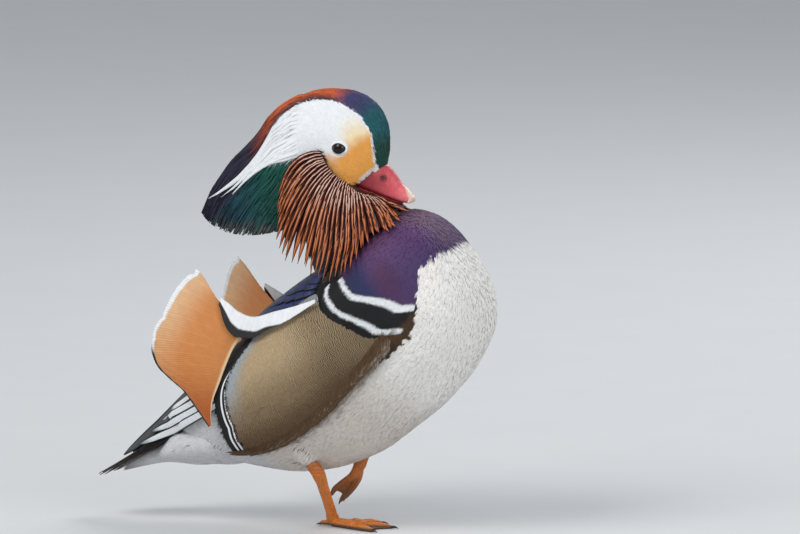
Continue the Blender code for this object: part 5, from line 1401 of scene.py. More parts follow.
def crest():
    rng = np.random.default_rng(SEED + 20)
    sets = []
    for side in (-1, 1):
        for count, low, high, least, most, lifts in ((560, 0.0, 0.3, 0.3, 0.42, (-1.0, -0.3)),
                                                     (620, 0.2, 0.52, 0.34, 0.48, (-1.4, -0.5)),
                                                     (760, 0.35, 0.55, 0.36, 0.6, (-2.2, -0.8))):
            even = (np.arange(count) + rng.uniform(0, 1, count)) / count
            angles = 3 + 174 * rng.permutation(even)
            starts = rng.uniform(low, high, count)
            lengths = rng.uniform(least, most, count)
            centres, ups, half = strand_set(rng, count, angles, starts, lengths, lifts, 1.3, BRUSH)
            sets.append((centres * (1, -side, 1), ups * (1, -side, 1), half))
    centres, ups, half = (np.concatenate([entry[k] for entry in sets]) for k in range(3))
    wobble = np.repeat(rng.normal(size=len(centres)) * 0.5, centres.shape[1])
    shades, _ = head_colour(centres.reshape(-1, 3), wobble)
    shades = shades.reshape(centres.shape) * rng.uniform(0.6, 1.3, (len(centres), 1, 1))
    made = strips("crest_strands", centres, ups, half, 0.35, shades, unwrap(centres[:, 0]))
    finish_piece(made, GLOSSY_LOOK, "crest_feathers", ("crest",))
    sets = []
    shares = np.array(THREAD[0])
    for side in (-1, 1):
        for tip, low, high, closing, count in ((-90.5, 0.0, 0.55, 0.0, 130), (-72.5, 0.5, 1.0, 1.0, 90),
                                               (-81, 0.4, 0.7, 0.55, 30)):
            across = rng.uniform(low, high, (count, 1))
            begin = -rng.uniform(6, 44, (count, 1))
            stop = begin + (tip - begin) * (1 - rng.uniform(0, 0.5, (count, 1)) ** 2)
            x = begin + (stop - begin) * shares
            over = across + (closing - across) * np.clip((begin - x) / (begin - tip), 0, 1) ** 0.9
            top = line_height(WHITE_TOP[9:], x) - 0.7
            gap = np.maximum(top - line_height(WHITE_LOW, np.maximum(x, -72.2)) - 0.5, 0)
            gap = np.where(x < -72.2, line_height(WHITE_TOP, np.full(1, -72.2)) - 219.5, gap)
            path = np.stack([x, top - gap * over], axis=-1)
            turn, share = crest_place(path.reshape(-1, 2))
            turn, share = turn.reshape(path.shape[:2]), share.reshape(path.shape[:2])
            ups = crest_normal(turn, share)
            lift = rise_along(shares, -0.5, 0.8, 0.5) + rng.uniform(-0.3, 0.3, (count, 1))
            centres = crest_point(turn, share)
            centres[..., 0], centres[..., 2] = path[..., 0], path[..., 1]
            half = 0.85 * rng.uniform(0.7, 1.2, (count, 1)) * np.array(THREAD[1])
            sets.append(((centres + ups * lift[..., None]) * (1, -side, 1), ups * (1, -side, 1), half))
    centres, ups, half = (np.concatenate([entry[k] for entry in sets]) for k in range(3))
    tint = rng.uniform(0.9, 1.03, (len(centres), 1, 1))
    shades = np.broadcast_to(WHITE, centres.shape) * tint
    made = strips("crest_plumes", centres, ups, half, 0.2, shades, unwrap(centres[:, 0]), soft=0.6)
    finish_piece(made, FACE_LOOK, "crest_feathers")


crest()


# The ruff: long pointed hackles with pale shafts.
RUFF_BOW = np.array((-6.5, 0, 6.0))  # how far the rear feathers curve out on their way down
RUFF_FRONT_TIPS = {-1: ((53, 34.5, 201.5), (58, 20.5, 215.5)), 1: ((45, 33, 203), (43, 20, 209))}


def ruff_surface(side):
    grid = between(RUFF_ROOT, RUFF_TIPS[:-2] + RUFF_FRONT_TIPS[side], 40, 24)
    across, along = np.meshgrid(np.linspace(1, 0, 40), np.linspace(0, 1, 24), indexing="ij")
    grid = grid + (np.sin(math.pi * along**0.8) * across**1.6)[..., None] * RUFF_BOW
    low = np.clip((194 - grid[..., 2]) / 14, 0, 1)
    clear = 3.2 + (7.2 - 3.2) * low
    grid[..., 1] = np.maximum(body_reach(grid[..., 0], grid[..., 2]) + clear, grid[..., 1])
    for _ in range(24):
        inner = grid[1:-1, 1:-1, 1]
        around = grid[:-2, 1:-1, 1] + grid[2:, 1:-1, 1] + grid[1:-1, :-2, 1] + grid[1:-1, 2:, 1]
        grid[1:-1, 1:-1, 1] = np.maximum(inner, around / 4)
    return Draped(grid * (1, side, 1), (0, side, 0))


def ruff(side, label):
    surface = ruff_surface(side)
    rng = np.random.default_rng(SEED + 30)
    shares = np.array(LANCE[0])
    sets = []
    count = 31
    even = (np.arange(count) + 0.5 + rng.uniform(-0.18, 0.18, count)) / count
    for stop, low, high in ((0.86, -1.6, -0.9), (1.0, -0.9, 0.0), (0.92, -0.7, 0.4), (0.82, -0.5, 0.8), (0.7, -0.3, 1.2), (0.57, -0.1, 1.5),
                            (0.44, 0.0, 1.8), (0.32, 0.1, 2.0), (0.21, 0.1, 2.1), (0.12, 0.1, 2.0)):
        starts = rng.uniform(-0.03, 0.01, count)
        stops = stop - rng.uniform(0, 0.1, count)
        v = starts[:, None] + (stops - starts)[:, None] * shares
        across = (even + rng.uniform(-0.1, 0.1, count) / count)[:, None] + rng.normal(size=(count, 1)) * 0.004 * shares
        centres, ups = surface(across, v)
        lift = rise_along(shares, low, high, 0.5) + rng.uniform(-0.15, 0.15, (count, 1))
        # Painted shade: the dark layer of hackles under the others fills their gaps with dark.
        under = stop == 0.86  # a dark layer that fills the gaps
        half = 0.6 * (1.5 + 2.6 * np.clip(v, 0, 1)) * rng.uniform(0.9, 1.1, (count, 1)) * np.array(LANCE[1])
        if under:
            centres, ups = surface(across + 0.5 / count, v)
            half = half * 1.3
        sets.append((centres + ups * lift[..., None], ups, half, np.full((count, 1), float(under)), v))
    centres, ups, half, under, v = (np.concatenate([entry[k] for entry in sets]) for k in range(5))
    shades = mix(HACKLE, HACKLE_TIP * 0.8, ease(0.45, 1.0, v) * 0.6)
    shades = mix(shades, RUFF_GAP_SHADE, under) * rng.uniform(0.85, 1.15, (len(centres), 1, 1))
    shaft = mix(mix(HACKLE_SHAFT, HACKLE_MIDDLE, ease(0.18, 0.42, v)), HACKLE_TIP, ease(0.45, 0.75, v))
    shaft = mix(shaft, RUFF_GAP_SHADE, under)
    # The rim is painted shade of the narrow gaps between neighbouring hackles.
    rim = np.broadcast_to(RUFF_GAP_SHADE * 0.45, shades.shape)
    made = strips(f"ruff_hackles_{label}", centres, ups, half, 0.5, (shades, shaft, rim), unwrap(centres[:, 0]),
                  profile=HACKLE_PROFILE)
    finish_piece(made, RUFF_LOOK, "ruff_feathers", (f"ruff_{label}",))


RUFF_LOOK = plumage("hackles", roughness=0.5, barbs=3, specular=0.3, grain=1.1, bump=0.0, uneven=0.1, fine=0.0)
for SIDE, LABEL in SIDES:
    ruff(SIDE, LABEL)


# The white band and the orange sail on each side.
def sheet_place(made, rows, columns, scale_u, scale_v):
    """Gives a slab's points their places on its own plan, in millimetres."""
    u, v = np.meshgrid(np.linspace(0, scale_u, rows), np.linspace(0, scale_v, columns), indexing="ij")
    plan = np.column_stack([v.ravel(), u.ravel()])
    uv_map(made, "Place", np.concatenate([plan, plan]))


def vane_look(name, period, direction="Y", roughness=0.55):
    """A stiff vane ribbed by its barbs."""
    nodes = Nodes(name)
    lines = nodes.wave(nodes.plan(), period, 0.8, 1.0, 0.3, direction)
    broad = nodes.wave(nodes.plan(), period * 5.3, 5.0, 3.0, 0.12, direction)
    streaks = nodes.add("ShaderNodeMapRange", {"Value": broad, "From Min": 0.9, "From Max": 1.0, "To Max": 0.06})
    soft = nodes.math("ADD", nodes.math("MULTIPLY", lines, 0.14), nodes.math("ADD", 0.9, streaks))
    factor = nodes.math("MULTIPLY", soft, nodes.grain(5, low=0.95, high=1.05))
    return nodes.done(nodes.scaled(nodes.shade(), factor), roughness, lines, 0.35, 0.0002, sheen=0.15, specular=0.35)


BAND_LOOK = vane_look("band vanes", 0.7)
SAIL_LOOK = vane_look("sail vanes", 1.3)


def band(side, label):
    rows, columns = 90, 24
    grid = between(BAND_TOP, BAND_LOW, rows, columns)
    u, v = np.meshgrid(np.linspace(0, 1, rows), np.linspace(0, 1, columns), indexing="ij")
    rng = np.random.default_rng(SEED + 40)
    ripple = np.sin(u * 46 + v * 5) * 0.12 + noise_of(np.column_stack([u.ravel() * 40, v.ravel() * 9, v.ravel()]), 6,
                                                     9).reshape(u.shape) * 0.12
    grid[..., 1] += ripple
    grid[:, -1, 2] += rng.uniform(-0.25, 0.15, rows)
    made = sheet(f"band_vane_{label}", grid * (1, side, 1), 0.8 - 0.25 * np.abs(2 * v - 1))
    black_from = np.interp(u, (0, 0.3, 0.45, 0.6, 0.8, 1), (1.05, 1.0, 0.78, 0.66, 0.6, 0.5))
    edge = v - black_from + rng.normal(size=(rows, 1)) * 0.005
    shades = mix(WHITE, BLACK, ease(-0.03, 0.05, edge))
    shades = mix(shades, BLACK, ease(0.05, 0.0, v) * 0.55 * ease(0.2, 0.5, u))
    attribute(made, "Shade", np.concatenate([shades.reshape(-1, 3)] * 2))
    sheet_place(made, rows, columns, 75, 16)
    uv_map(made, "OFBake", np.concatenate([np.column_stack([u.ravel() * 0.48, v.ravel()]),
                                           np.column_stack([0.52 + u.ravel() * 0.48, v.ravel()])]))
    finish_piece(made, BAND_LOOK, "band_feather", (f"band_{label}",))


def sail(side, label):
    rows, columns = 220, 60
    grid = between(SAIL_SHAFT, SAIL_RIM, rows, columns, bulge=(0, 3, 0))
    u, v = np.meshgrid(np.linspace(0, 1, rows), np.linspace(0, 1, columns), indexing="ij")
    rng = np.random.default_rng(SEED + 41)
    fringe = rng.uniform(-0.07, 0.05, rows)
    for at, deep, wide in ((0.025, 1.6, 0.012), (0.31, 1.0, 0.012), (0.43, 0.8, 0.01)):
        fringe = fringe - deep * np.exp(-(((np.linspace(0, 1, rows) - at) / wide) ** 2))
    outward = unit(grid[:, -1] - grid[:, -2])
    reach = ease(0.86, 1.0, v)[..., None]
    grid = grid + outward[:, None] * fringe[:, None, None] * reach
    upward = unit(grid[0] - grid[1])
    top = rng.uniform(-0.2, 0.1, columns) + 0.7 * np.sin(np.linspace(0, 9, columns))
    grid = grid + upward[None] * (top[None, :] * ease(0.08, 0.0, u))[..., None]
    grid[..., 1] += SAIL_OUT * u
    grid[..., 1] += np.sin((u * 95 + v * 10) * 2 * math.pi / 5.5) * 0.1 * v
    thickness = 1.0 - 0.45 * v
    thickness[:, 0:2] = 1.8
    made = sheet(f"sail_vane_{label}", grid * (1, side, 1), thickness)
    shades = mix(SAIL_ORANGE, SAIL_DEEP, ease(0.35, 0.95, u) * ease(1.0, 0.2, v * 0.6))
    shades = mix(shades, CREAM * 0.9, ease(0.5, 0.95, v) * ease(0.75, 0.2, u) * 0.45)
    jag = np.convolve(rng.normal(size=rows + 10), np.full(11, 1 / 11), "valid")[:, None] * 0.008
    rim_width = np.interp(u, (0, 0.12, 0.3, 0.5, 0.6), (0.06, 0.055, 0.045, 0.04, 0.03))
    white = ease(1 - rim_width - 0.012, 1 - rim_width, v + jag) * ease(0.62, 0.52, u)
    shades = mix(shades, WHITE, white)
    black_rim = np.interp(u, (0.42, 0.6, 0.8, 0.93, 1), (0.03, 0.06, 0.13, 0.26, 0.5))
    dark = ease(1.0 - black_rim, 1.0 - black_rim + 0.012, v + jag) * ease(0.44, 0.52, u)
    shades = mix(shades, BLACK, dark)
    shades = mix(shades, CREAM, ease(0.045, 0.01, v) * 0.8)
    attribute(made, "Shade", np.concatenate([shades.reshape(-1, 3)] * 2))
    plan_u = u * 95 - v * 16
    plan = np.column_stack([(v * 50).ravel(), plan_u.ravel()])
    uv_map(made, "Place", np.concatenate([plan, plan]))
    uv_map(made, "OFBake", np.concatenate([np.column_stack([u.ravel() * 0.48, v.ravel()]),
                                           np.column_stack([0.52 + u.ravel() * 0.48, v.ravel()])]))
    finish_piece(made, SAIL_LOOK, "sail_feather", (f"sail_{label}",))


# Wing quills, tail and the coverts round its root.
def wing_surface(side):
    line = Curve((-155, -126, -112, -98, -60), (7, 14, 21, 27, 30))

    def point(t, n):
        world = body_to_world(t, 0, n)
        return body_to_world(t, side * np.maximum(line(t), torso_reach(world[..., 0], world[..., 2])), n)

    def surface(t, n):
        outward = unit(np.cross(point(t + 2, n) - point(t - 2, n), point(t, n + 3) - point(t, n - 3)))
        outward = outward * np.sign(outward[..., 1:2] * side)
        return point(t, n), outward

    return surface


WING_QUILLS = (((-76, 62.4), (-166, 58.2), 3.6, 1.2, 0.9), ((-76, 57.5), (-115, 60.4), 2.6, 1.7, 0.0),
               ((-76, 51.0), (-126, 59.7), 2.8, 2.3, 0.0), ((-76, 45.5), (-138, 58.4), 2.9, 2.9, 0.0),
               ((-76, 41.0), (-151, 56.9), 3.0, 3.5, 0.0), ((-100, 46.5), (-157, 54.8), 2.8, 0.9, 1.0),
               ((-108, 47.5), (-155, 52.0), 2.8, 0.5, 1.0), ((-114, 48.0), (-152, 49.6), 2.6, 0.1, 1.0))
QUILL = ((0, 0.2, 0.4, 0.6, 0.75, 0.86, 0.94, 1), (0.8, 0.95, 1, 0.97, 0.88, 0.7, 0.45, 0.12))


def wing(side, label):
    surface = wing_surface(side)
    shares = np.array(QUILL[0])
    sets = []
    # Each quill: its root, its tip, half its width, its height over the wing, and whether it is dark.
    for root, tip, wide, lift, dark in WING_QUILLS:
        place = np.array(root) + (np.array(tip) - root) * shares[:, None]
        place[:, 1] -= 1.2 * np.sin(math.pi * shares)
        centres, ups = surface(place[:, 0], place[:, 1])
        shade = mix(WHITE * 0.95, BLACK * 1.4, np.maximum(ease(0.88, 1.0, shares), dark))
        edge = mix(mix(CREST_GREEN, BLACK, 0.55), BLACK, dark * 0.8)
        sets.append((centres + ups * lift, ups, wide * np.array(QUILL[1]), shade, np.broadcast_to(edge, shade.shape)))
    centres, ups, half, shades, dark = (np.array([entry[k] for entry in sets]) for k in range(5))
    profile = [(-1, 0, 1), (-0.74, 0.5, 1), (-0.66, 0.6, 0), (0, 1, 0), (0.66, 0.6, 0), (0.74, 0.5, 1), (1, 0, 1)]
    made = strips(f"wing_quills_{label}", centres, ups, half, 0.5, (shades, dark), unwrap(centres[:, 0]), profile=profile)
    finish_piece(made, WING_LOOK, "wing_feathers", (f"wing_{label}",))


def tail():
    def plane(t, s):
        along = np.clip((-126 - t) / 64, 0, 1)
        n = 53.6 + 6 * along**1.5 - np.abs(s) * 0.13
        up = body_to_world(t, s + 0.13 * np.sign(s), n + 1) - body_to_world(t, s, n)
        return body_to_world(t, s, n), unit(up)

    shares = np.array(QUILL[0])
    rng = np.random.default_rng(SEED + 50)
    sets = []
    for side in (-1, 1):
        for i in range(5):
            t = -124 - (66 - 1.6 * i * i) * shares
            s = side * ((3.2 + 1.8 * i) * (1 - shares) + (3.6 + 3.9 * i) * shares)
            centres, ups = plane(t, s)
            half = 5.4 * np.array((0.8, 0.95, 1, 1, 0.95, 0.82, 0.58, 0.16))
            sets.append((centres - ups * 0.95 * i, ups, half))
    centres, ups, half = (np.array([entry[k] for entry in sets]) for k in range(3))
    shades = np.broadcast_to(TAIL_BROWN, centres.shape) * rng.uniform(0.85, 1.15, (len(centres), 1, 1))
    shaft = np.broadcast_to(TAIL_BROWN * 0.4, centres.shape)
    made = strips("tail_quills", centres, ups, half, 0.45, (shades, shaft), unwrap(centres[:, 0]), profile=SHAFT_PROFILE)
    finish_piece(made, WING_LOOK, "tail_feathers", ("tail",))
    top = oval_surface(TAIL_STATIONS)
    count = 260
    angles = rng.uniform(-75, 75, count)
    start = -112 - rng.uniform(0, 22, count)
    t = start[:, None] - rng.uniform(9, 14, (count, 1)) * np.array(LEAF[0])
    centres, ups = top(t, angles[:, None] * np.ones((1, len(LEAF[0]))))
    lift = rise_along(LEAF[0], -0.4, 1.4, 0.6)
    half = 2.0 * rng.uniform(0.8, 1.2, (count, 1)) * np.array(LEAF[1])
    shades = np.broadcast_to(mix(MANTLE, BLACK, 0.4), centres.shape) * rng.uniform(0.8, 1.3, (count, 1, 1))
    made = strips("tail_coverts", centres + ups * lift[:, None], ups, half, 0.4, shades, unwrap(centres[:, 0]))
    finish_piece(made, BODY_LOOK, "tail_feathers")
    below = oval_surface(((-84, 2, 32, 26), (-92, 3, 37, 28), (-104, 7, 44.5, 32), (-117, 16, 49, 29),
                          (-127, 22.5, 50, 24), (-138, 32, 49, 17), (-147, 38.5, 51, 11), (-160, 45, 54.5, 7),
                          (-176, 52, 57.5, 3)))
    count = 1500
    start = -88 - rng.uniform(0, 74, count)
    angles = rng.uniform(35, 325, count)
    t = np.maximum(start[:, None] - rng.uniform(10, 16, (count, 1)) * np.array(LEAF[0]), -176)
    centres, ups = below(t, angles[:, None] * np.ones((1, len(LEAF[0]))))
    half = 1.7 * rng.uniform(0.8, 1.2, (count, 1)) * np.array(LEAF[1]) * ease(-185, -150, t)
    shades = mix(VENT_GREY, TAIL_BROWN, ease(-150, -176, t) * 0.6) * rng.uniform(0.94, 1.04, (count, 1, 1))
    lift = rise_along(LEAF[0], -1.2, 0.5, 0.6)
    made = strips("undertail_coverts", centres + ups * lift[:, None], ups, half, 0.25, shades, unwrap(centres[:, 0]),
                  soft=0.85)
    finish_piece(made, BODY_LOOK, "tail_feathers")


WING_LOOK = plumage("quills", roughness=0.55, barbs=70, specular=0.3, bump=0.1, uneven=0.08)
for SIDE, LABEL in SIDES:
    band(SIDE, LABEL)
    sail(SIDE, LABEL)
    wing(SIDE, LABEL)
tail()


# The bill, the eyes and the legs.
def bill_rings(ridge, mouth, half_widths, sides):
    angles = np.linspace(0, math.pi, sides)
    rings = []
    for top, bottom, half_width in zip(ridge, mouth, half_widths):
        up = np.array([top[0] - bottom[0], 0, top[1] - bottom[1]])
        base = np.array([bottom[0], 0, bottom[1]])
        rings.append([base + up * math.sin(a) ** 0.8 + np.array([0, half_width * math.cos(a), 0]) for a in angles])
    return rings


def bill_look():
    nodes = Nodes("bill horn")
    nails = nodes.math("MULTIPLY", nodes.grain(3.0, 4, 0.84, 1.14), nodes.grain(0.9, 2, 0.93, 1.06))
    pits = nodes.grain(0.7, 3, 0.0, 1.0)
    return nodes.done(nodes.scaled(nodes.shade(), nails), 0.34, pits, 0.3, 0.0003, coat=0.2, specular=0.5)


def bill():
    look = bill_look()
    count = 40
    ridge = smooth_path([(x, 0, z) for x, z in BILL_RIDGE], count)[:, [0, 2]]
    mouth = smooth_path([(x, 0, z) for x, z in BILL_MOUTH], count)[:, [0, 2]]
    widths = Curve(np.linspace(0, 1, len(BILL_HALF_WIDTHS)), BILL_HALF_WIDTHS)(np.linspace(0, 1, count))
    upper = loft("bill_top", bill_rings(ridge, mouth, widths, 41))
    for side in (-1, 1):
        bpy.ops.mesh.primitive_uv_sphere_add(segments=24, ring_count=12, radius=1)
        pit = bpy.context.active_object
        pit.scale = np.array((2.3, 1.2, 0.85)) * 0.001
        pit.rotation_euler = (0, math.radians(38), 0)
        pit.location = to_frame((NOSTRIL[0], NOSTRIL[1] * side, NOSTRIL[2]))
        cut = upper.modifiers.new("pit", "BOOLEAN")
        cut.object, cut.operation, cut.solver = pit, "DIFFERENCE", "EXACT"
        apply_modifiers(upper)
        remove([pit])
    points = points_of(upper)
    x, _, z = points.T
    along = np.clip((x - 20) / 32, 0, 1)
    mouth_z = np.interp(x, mouth[:, 0], mouth[:, 1])
    red = mix(rgb(140, 36, 46), rgb(204, 78, 88), ease(0.1, 0.7, along))
    red = mix(red, rgb(222, 116, 118), ease(0.6, 0.85, along) * 0.6)
    red = mix(red, rgb(236, 206, 186), ease(48.6, 51.2, x + (z - 222) * 0.5))
    # Painted shade: darker just above the mouth line, in the crease under the upper bill's edge.
    red = mix(red, rgb(120, 28, 36), ease(2.2, 0.4, z - mouth_z) * 0.6)
    # Painted shade: darker round the nostril, in and about its pit.
    near = np.linalg.norm((points - (NOSTRIL[0], 0, NOSTRIL[2])) * (1, 0, 1), axis=1)
    red = mix(red, rgb(96, 20, 26), ease(3.2, 1.6, near) * (np.abs(points[:, 1]) > 2))
    attribute(upper, "Shade", red)
    finish_piece(upper, look, "bill", ("bill_upper",))
    low = [(x - 0.4, z - 0.5) for x, z in mouth]
    under = [(x - 1.5, z - drop) for (x, z), drop in zip(mouth, np.linspace(6, 1.8, count))]
    lower = loft("bill_under", bill_rings(under, low, widths - 0.9, 31)[:-4])
    shade = np.broadcast_to(rgb(150, 44, 50), (len(lower.data.vertices), 3))
    attribute(lower, "Shade", shade)
    finish_piece(lower, look, "bill", ("bill_lower",))
    top, bottom = ridge[-1], mouth[-1]
    rings = []
    for step in np.sin(np.linspace(0.02, 1, 14) * math.pi / 2):
        shrink = math.sqrt(max(1 - 0.93 * step * step, 0.05))
        middle = (top + bottom) / 2 + np.array([0.85, -0.4]) * (3.2 * step - 0.3)
        ends = (middle + (top - bottom) / 2 * shrink, middle + (bottom - top) / 2 * shrink)
        rings.append(bill_rings([ends[0]], [ends[1]], [widths[-1] * shrink], 31)[0])
    nail = loft("bill_tip", rings)
    attribute(nail, "Shade", np.broadcast_to(rgb(232, 200, 180), (len(nail.data.vertices), 3)))
    finish_piece(nail, look, "bill_nail", ("bill_nail",))


# A lid's section outwards from the opening: how far out, how high over the eye, and colour.
LID_FOOT = 2.5
LID_SECTION = ((0, -0.7, BLACK), (0, 0.08, BLACK), (0.12, 0.24, BLACK), (0.34, 0.2, rgb(120, 116, 112)),
               (0.5, 0.14, WHITE), (0.9, 0.15, WHITE), (1.3, 0.05, WHITE), (1.7, -0.15, WHITE), (1.7, -1.2, WHITE),
               (0.5, -1.6, BLACK))


def eyes():
    nodes = Nodes("dark eye")
    place = nodes.add("ShaderNodeUVMap", uv_map="Iris").outputs["UV"]
    ring = nodes.add("ShaderNodeSeparateXYZ", {0: place}).outputs["X"]
    ramp = nodes.add("ShaderNodeValToRGB", {"Fac": ring})
    ramp.color_ramp.elements[0].color = (0.002, 0.002, 0.002, 1)
    ramp.color_ramp.elements[0].position = 0.56
    ramp.color_ramp.elements[1].color = (0.018, 0.008, 0.004, 1)
    ramp.color_ramp.elements[1].position = 0.62
    grain = nodes.grain(0.5, 3, 0.6, 1.4)
    look = nodes.done(nodes.scaled(ramp.outputs["Color"], grain), 0.04, specular=0.32)
    rim = Nodes("lid skin")
    lid_look = rim.done(rim.scaled(rim.shade(), rim.grain(0.8, 3, 0.8, 1.2)), 0.5, rim.grain(0.3), 0.3, 0.0001)
    for side, label in SIDES:
        bpy.ops.mesh.primitive_uv_sphere_add(segments=64, ring_count=40, radius=EYE_RADIUS * 0.001)
        ball = bpy.context.active_object
        ball.name = f"eyeball_{label}"
        ball.data.transform(Matrix.Rotation(math.radians(90), 4, "X"))
        ball.data.transform(Matrix.Translation(to_frame((EYE[0], EYE[1] * side, EYE[2]))))
        ball.data.shade_smooth()
        points = points_of(ball) - (EYE[0], EYE[1] * side, EYE[2])
        out = np.hypot(points[:, 0], points[:, 2]) / 4.2
        uv_map(ball, "Iris", np.column_stack([np.clip(out, 0, 1), np.zeros(len(out))]))
        finish_piece(ball, look, "eye", (f"eye_{label}",))
        around = np.linspace(0, 2 * math.pi, 96, endpoint=False)
        rings, shades = [], []
        for angle in around:
            out = np.array([math.cos(angle), 0, math.sin(angle)])
            corner = 1 + 0.2 * max(-math.cos(angle), 0) ** 8 + 0.12 * max(math.cos(angle), 0) ** 8
            reach = 1 / math.hypot(math.cos(angle) / 3.95, math.sin(angle) / 3.3) * corner
            high = math.sqrt(max(EYE_RADIUS**2 - reach**2, 6.5))
            wave = 0.05 * math.sin(angle * 23) + 0.04 * math.sin(angle * 41)
            ring = []
            for over, rise, tone in LID_SECTION:
                height = high + rise if over < 0.6 else LID_FOOT + (high - LID_FOOT) * (1.7 - over) / 1.4 * 0.5 + rise
                ring.append(np.array(EYE) * (1, side, 1) + out * (reach + over + wave) + (0, side * height, 0))
                shades.append(tone)
            rings.append(ring)
        sides = len(LID_SECTION)
        index = np.arange(96 * sides).reshape(96, sides)
        faces = np.stack([index, np.roll(index, -1, 1), np.roll(np.roll(index, -1, 0), -1, 1),
                          np.roll(index, -1, 0)], -1).reshape(-1, 4)
        lid = outward_faces(mesh_object(f"lids_{label}", np.array(rings).reshape(-1, 3), faces))
        attribute(lid, "Shade", np.array(shades))
        finish_piece(lid, lid_look, "head_feathers")


TARSUS = (((-7.5, -33.5, 45.5), 4.2, 3.4), ((-3.2, -31, 39), 4.7, 3.6), ((-2.3, -25.5, 31), 4.0, 2.7),
          ((-2.3, -16.5, 20), 3.8, 2.4), ((-2.6, -8.2, 10.5), 3.9, 2.6), ((-2.8, -4.2, 5.6), 4.6, 3.4))
FOOT = np.array((-2.8, -3.4))
TOES = ((-28, 41), (3, 43), (35, 35))
HIND_TOE = (168, 11)
LIFTED_TOES = (
    ((8, 18, 40), (4, 15.5, 32), (-3, 14, 26.5), (-8, 13.5, 22.5), (-10.5, 13.5, 18.5)),
    ((8, 18, 40), (6, 18.5, 30), (1.5, 19, 23), (-3, 19, 18), (-6, 19, 14)),
    ((8, 18, 40), (6, 21.5, 31), (2, 23.5, 24), (-2, 24, 19), (-4.5, 24, 15.5)),
)
LIFTED_SIZES = ((3.4, 3.2), (2.7, 2.4), (2.3, 2.1), (1.9, 1.7), (1.2, 1.1))
LIFTED_LEG = (((6.4, 17.8, 36), 3.4, 3.2), ((8, 18, 39), 4.3, 3.7), ((10, 18.4, 43.5), 3.9, 3.2),
              ((12, 18.8, 48), 3.6, 2.9), ((16, 19.6, 56), 3.8, 3.1))


def scaly(name):
    """Bare skin of legs and feet: small scales over the given colours."""
    nodes = Nodes(name)
    place = nodes.add("ShaderNodeTexCoord").outputs["Object"]
    cells = nodes.add("ShaderNodeTexVoronoi", {"Vector": place, "Scale": 700, "Randomness": 0.6},
                      feature="DISTANCE_TO_EDGE").outputs["Distance"]
    scales = nodes.add("ShaderNodeMapRange", {"Value": cells, "From Max": 0.22}).outputs[0]
    tone = nodes.math("ADD", nodes.math("MULTIPLY", scales, 0.28), 0.76)
    factor = nodes.math("MULTIPLY", tone, nodes.grain(2.2, low=0.85, high=1.12))
    return nodes.done(nodes.scaled(nodes.shade(), factor), 0.45, scales, 0.5, 0.0003, specular=0.45)


def toe_path(angle, length):
    ahead = np.array([math.cos(math.radians(angle)), math.sin(math.radians(angle)), 0])
    start = np.array([FOOT[0], FOOT[1], 0])
    stations = ((0, 3.6, 3.3), (0.16, 2.7, 2.9), (0.36, 2.3, 2.4), (0.44, 2.6, 2.7), (0.56, 2.1, 2.2),
                (0.7, 2.2, 2.3), (0.86, 1.7, 1.8), (0.93, 1.1, 1.2))
    return [(start + ahead * length * share + (0, 0, depth), depth, width) for share, depth, width in stations]


def claw(name, tip_from, tip_to, size):
    middle = (tip_from + tip_to) / 2 + np.array((0, 0, size * 0.5))
    return tube(name, ((tip_from, size, size * 0.8), (middle, size * 0.72, size * 0.55), (tip_to, 0.2, 0.2)),
                count=14, sides=14, ends=0.1)


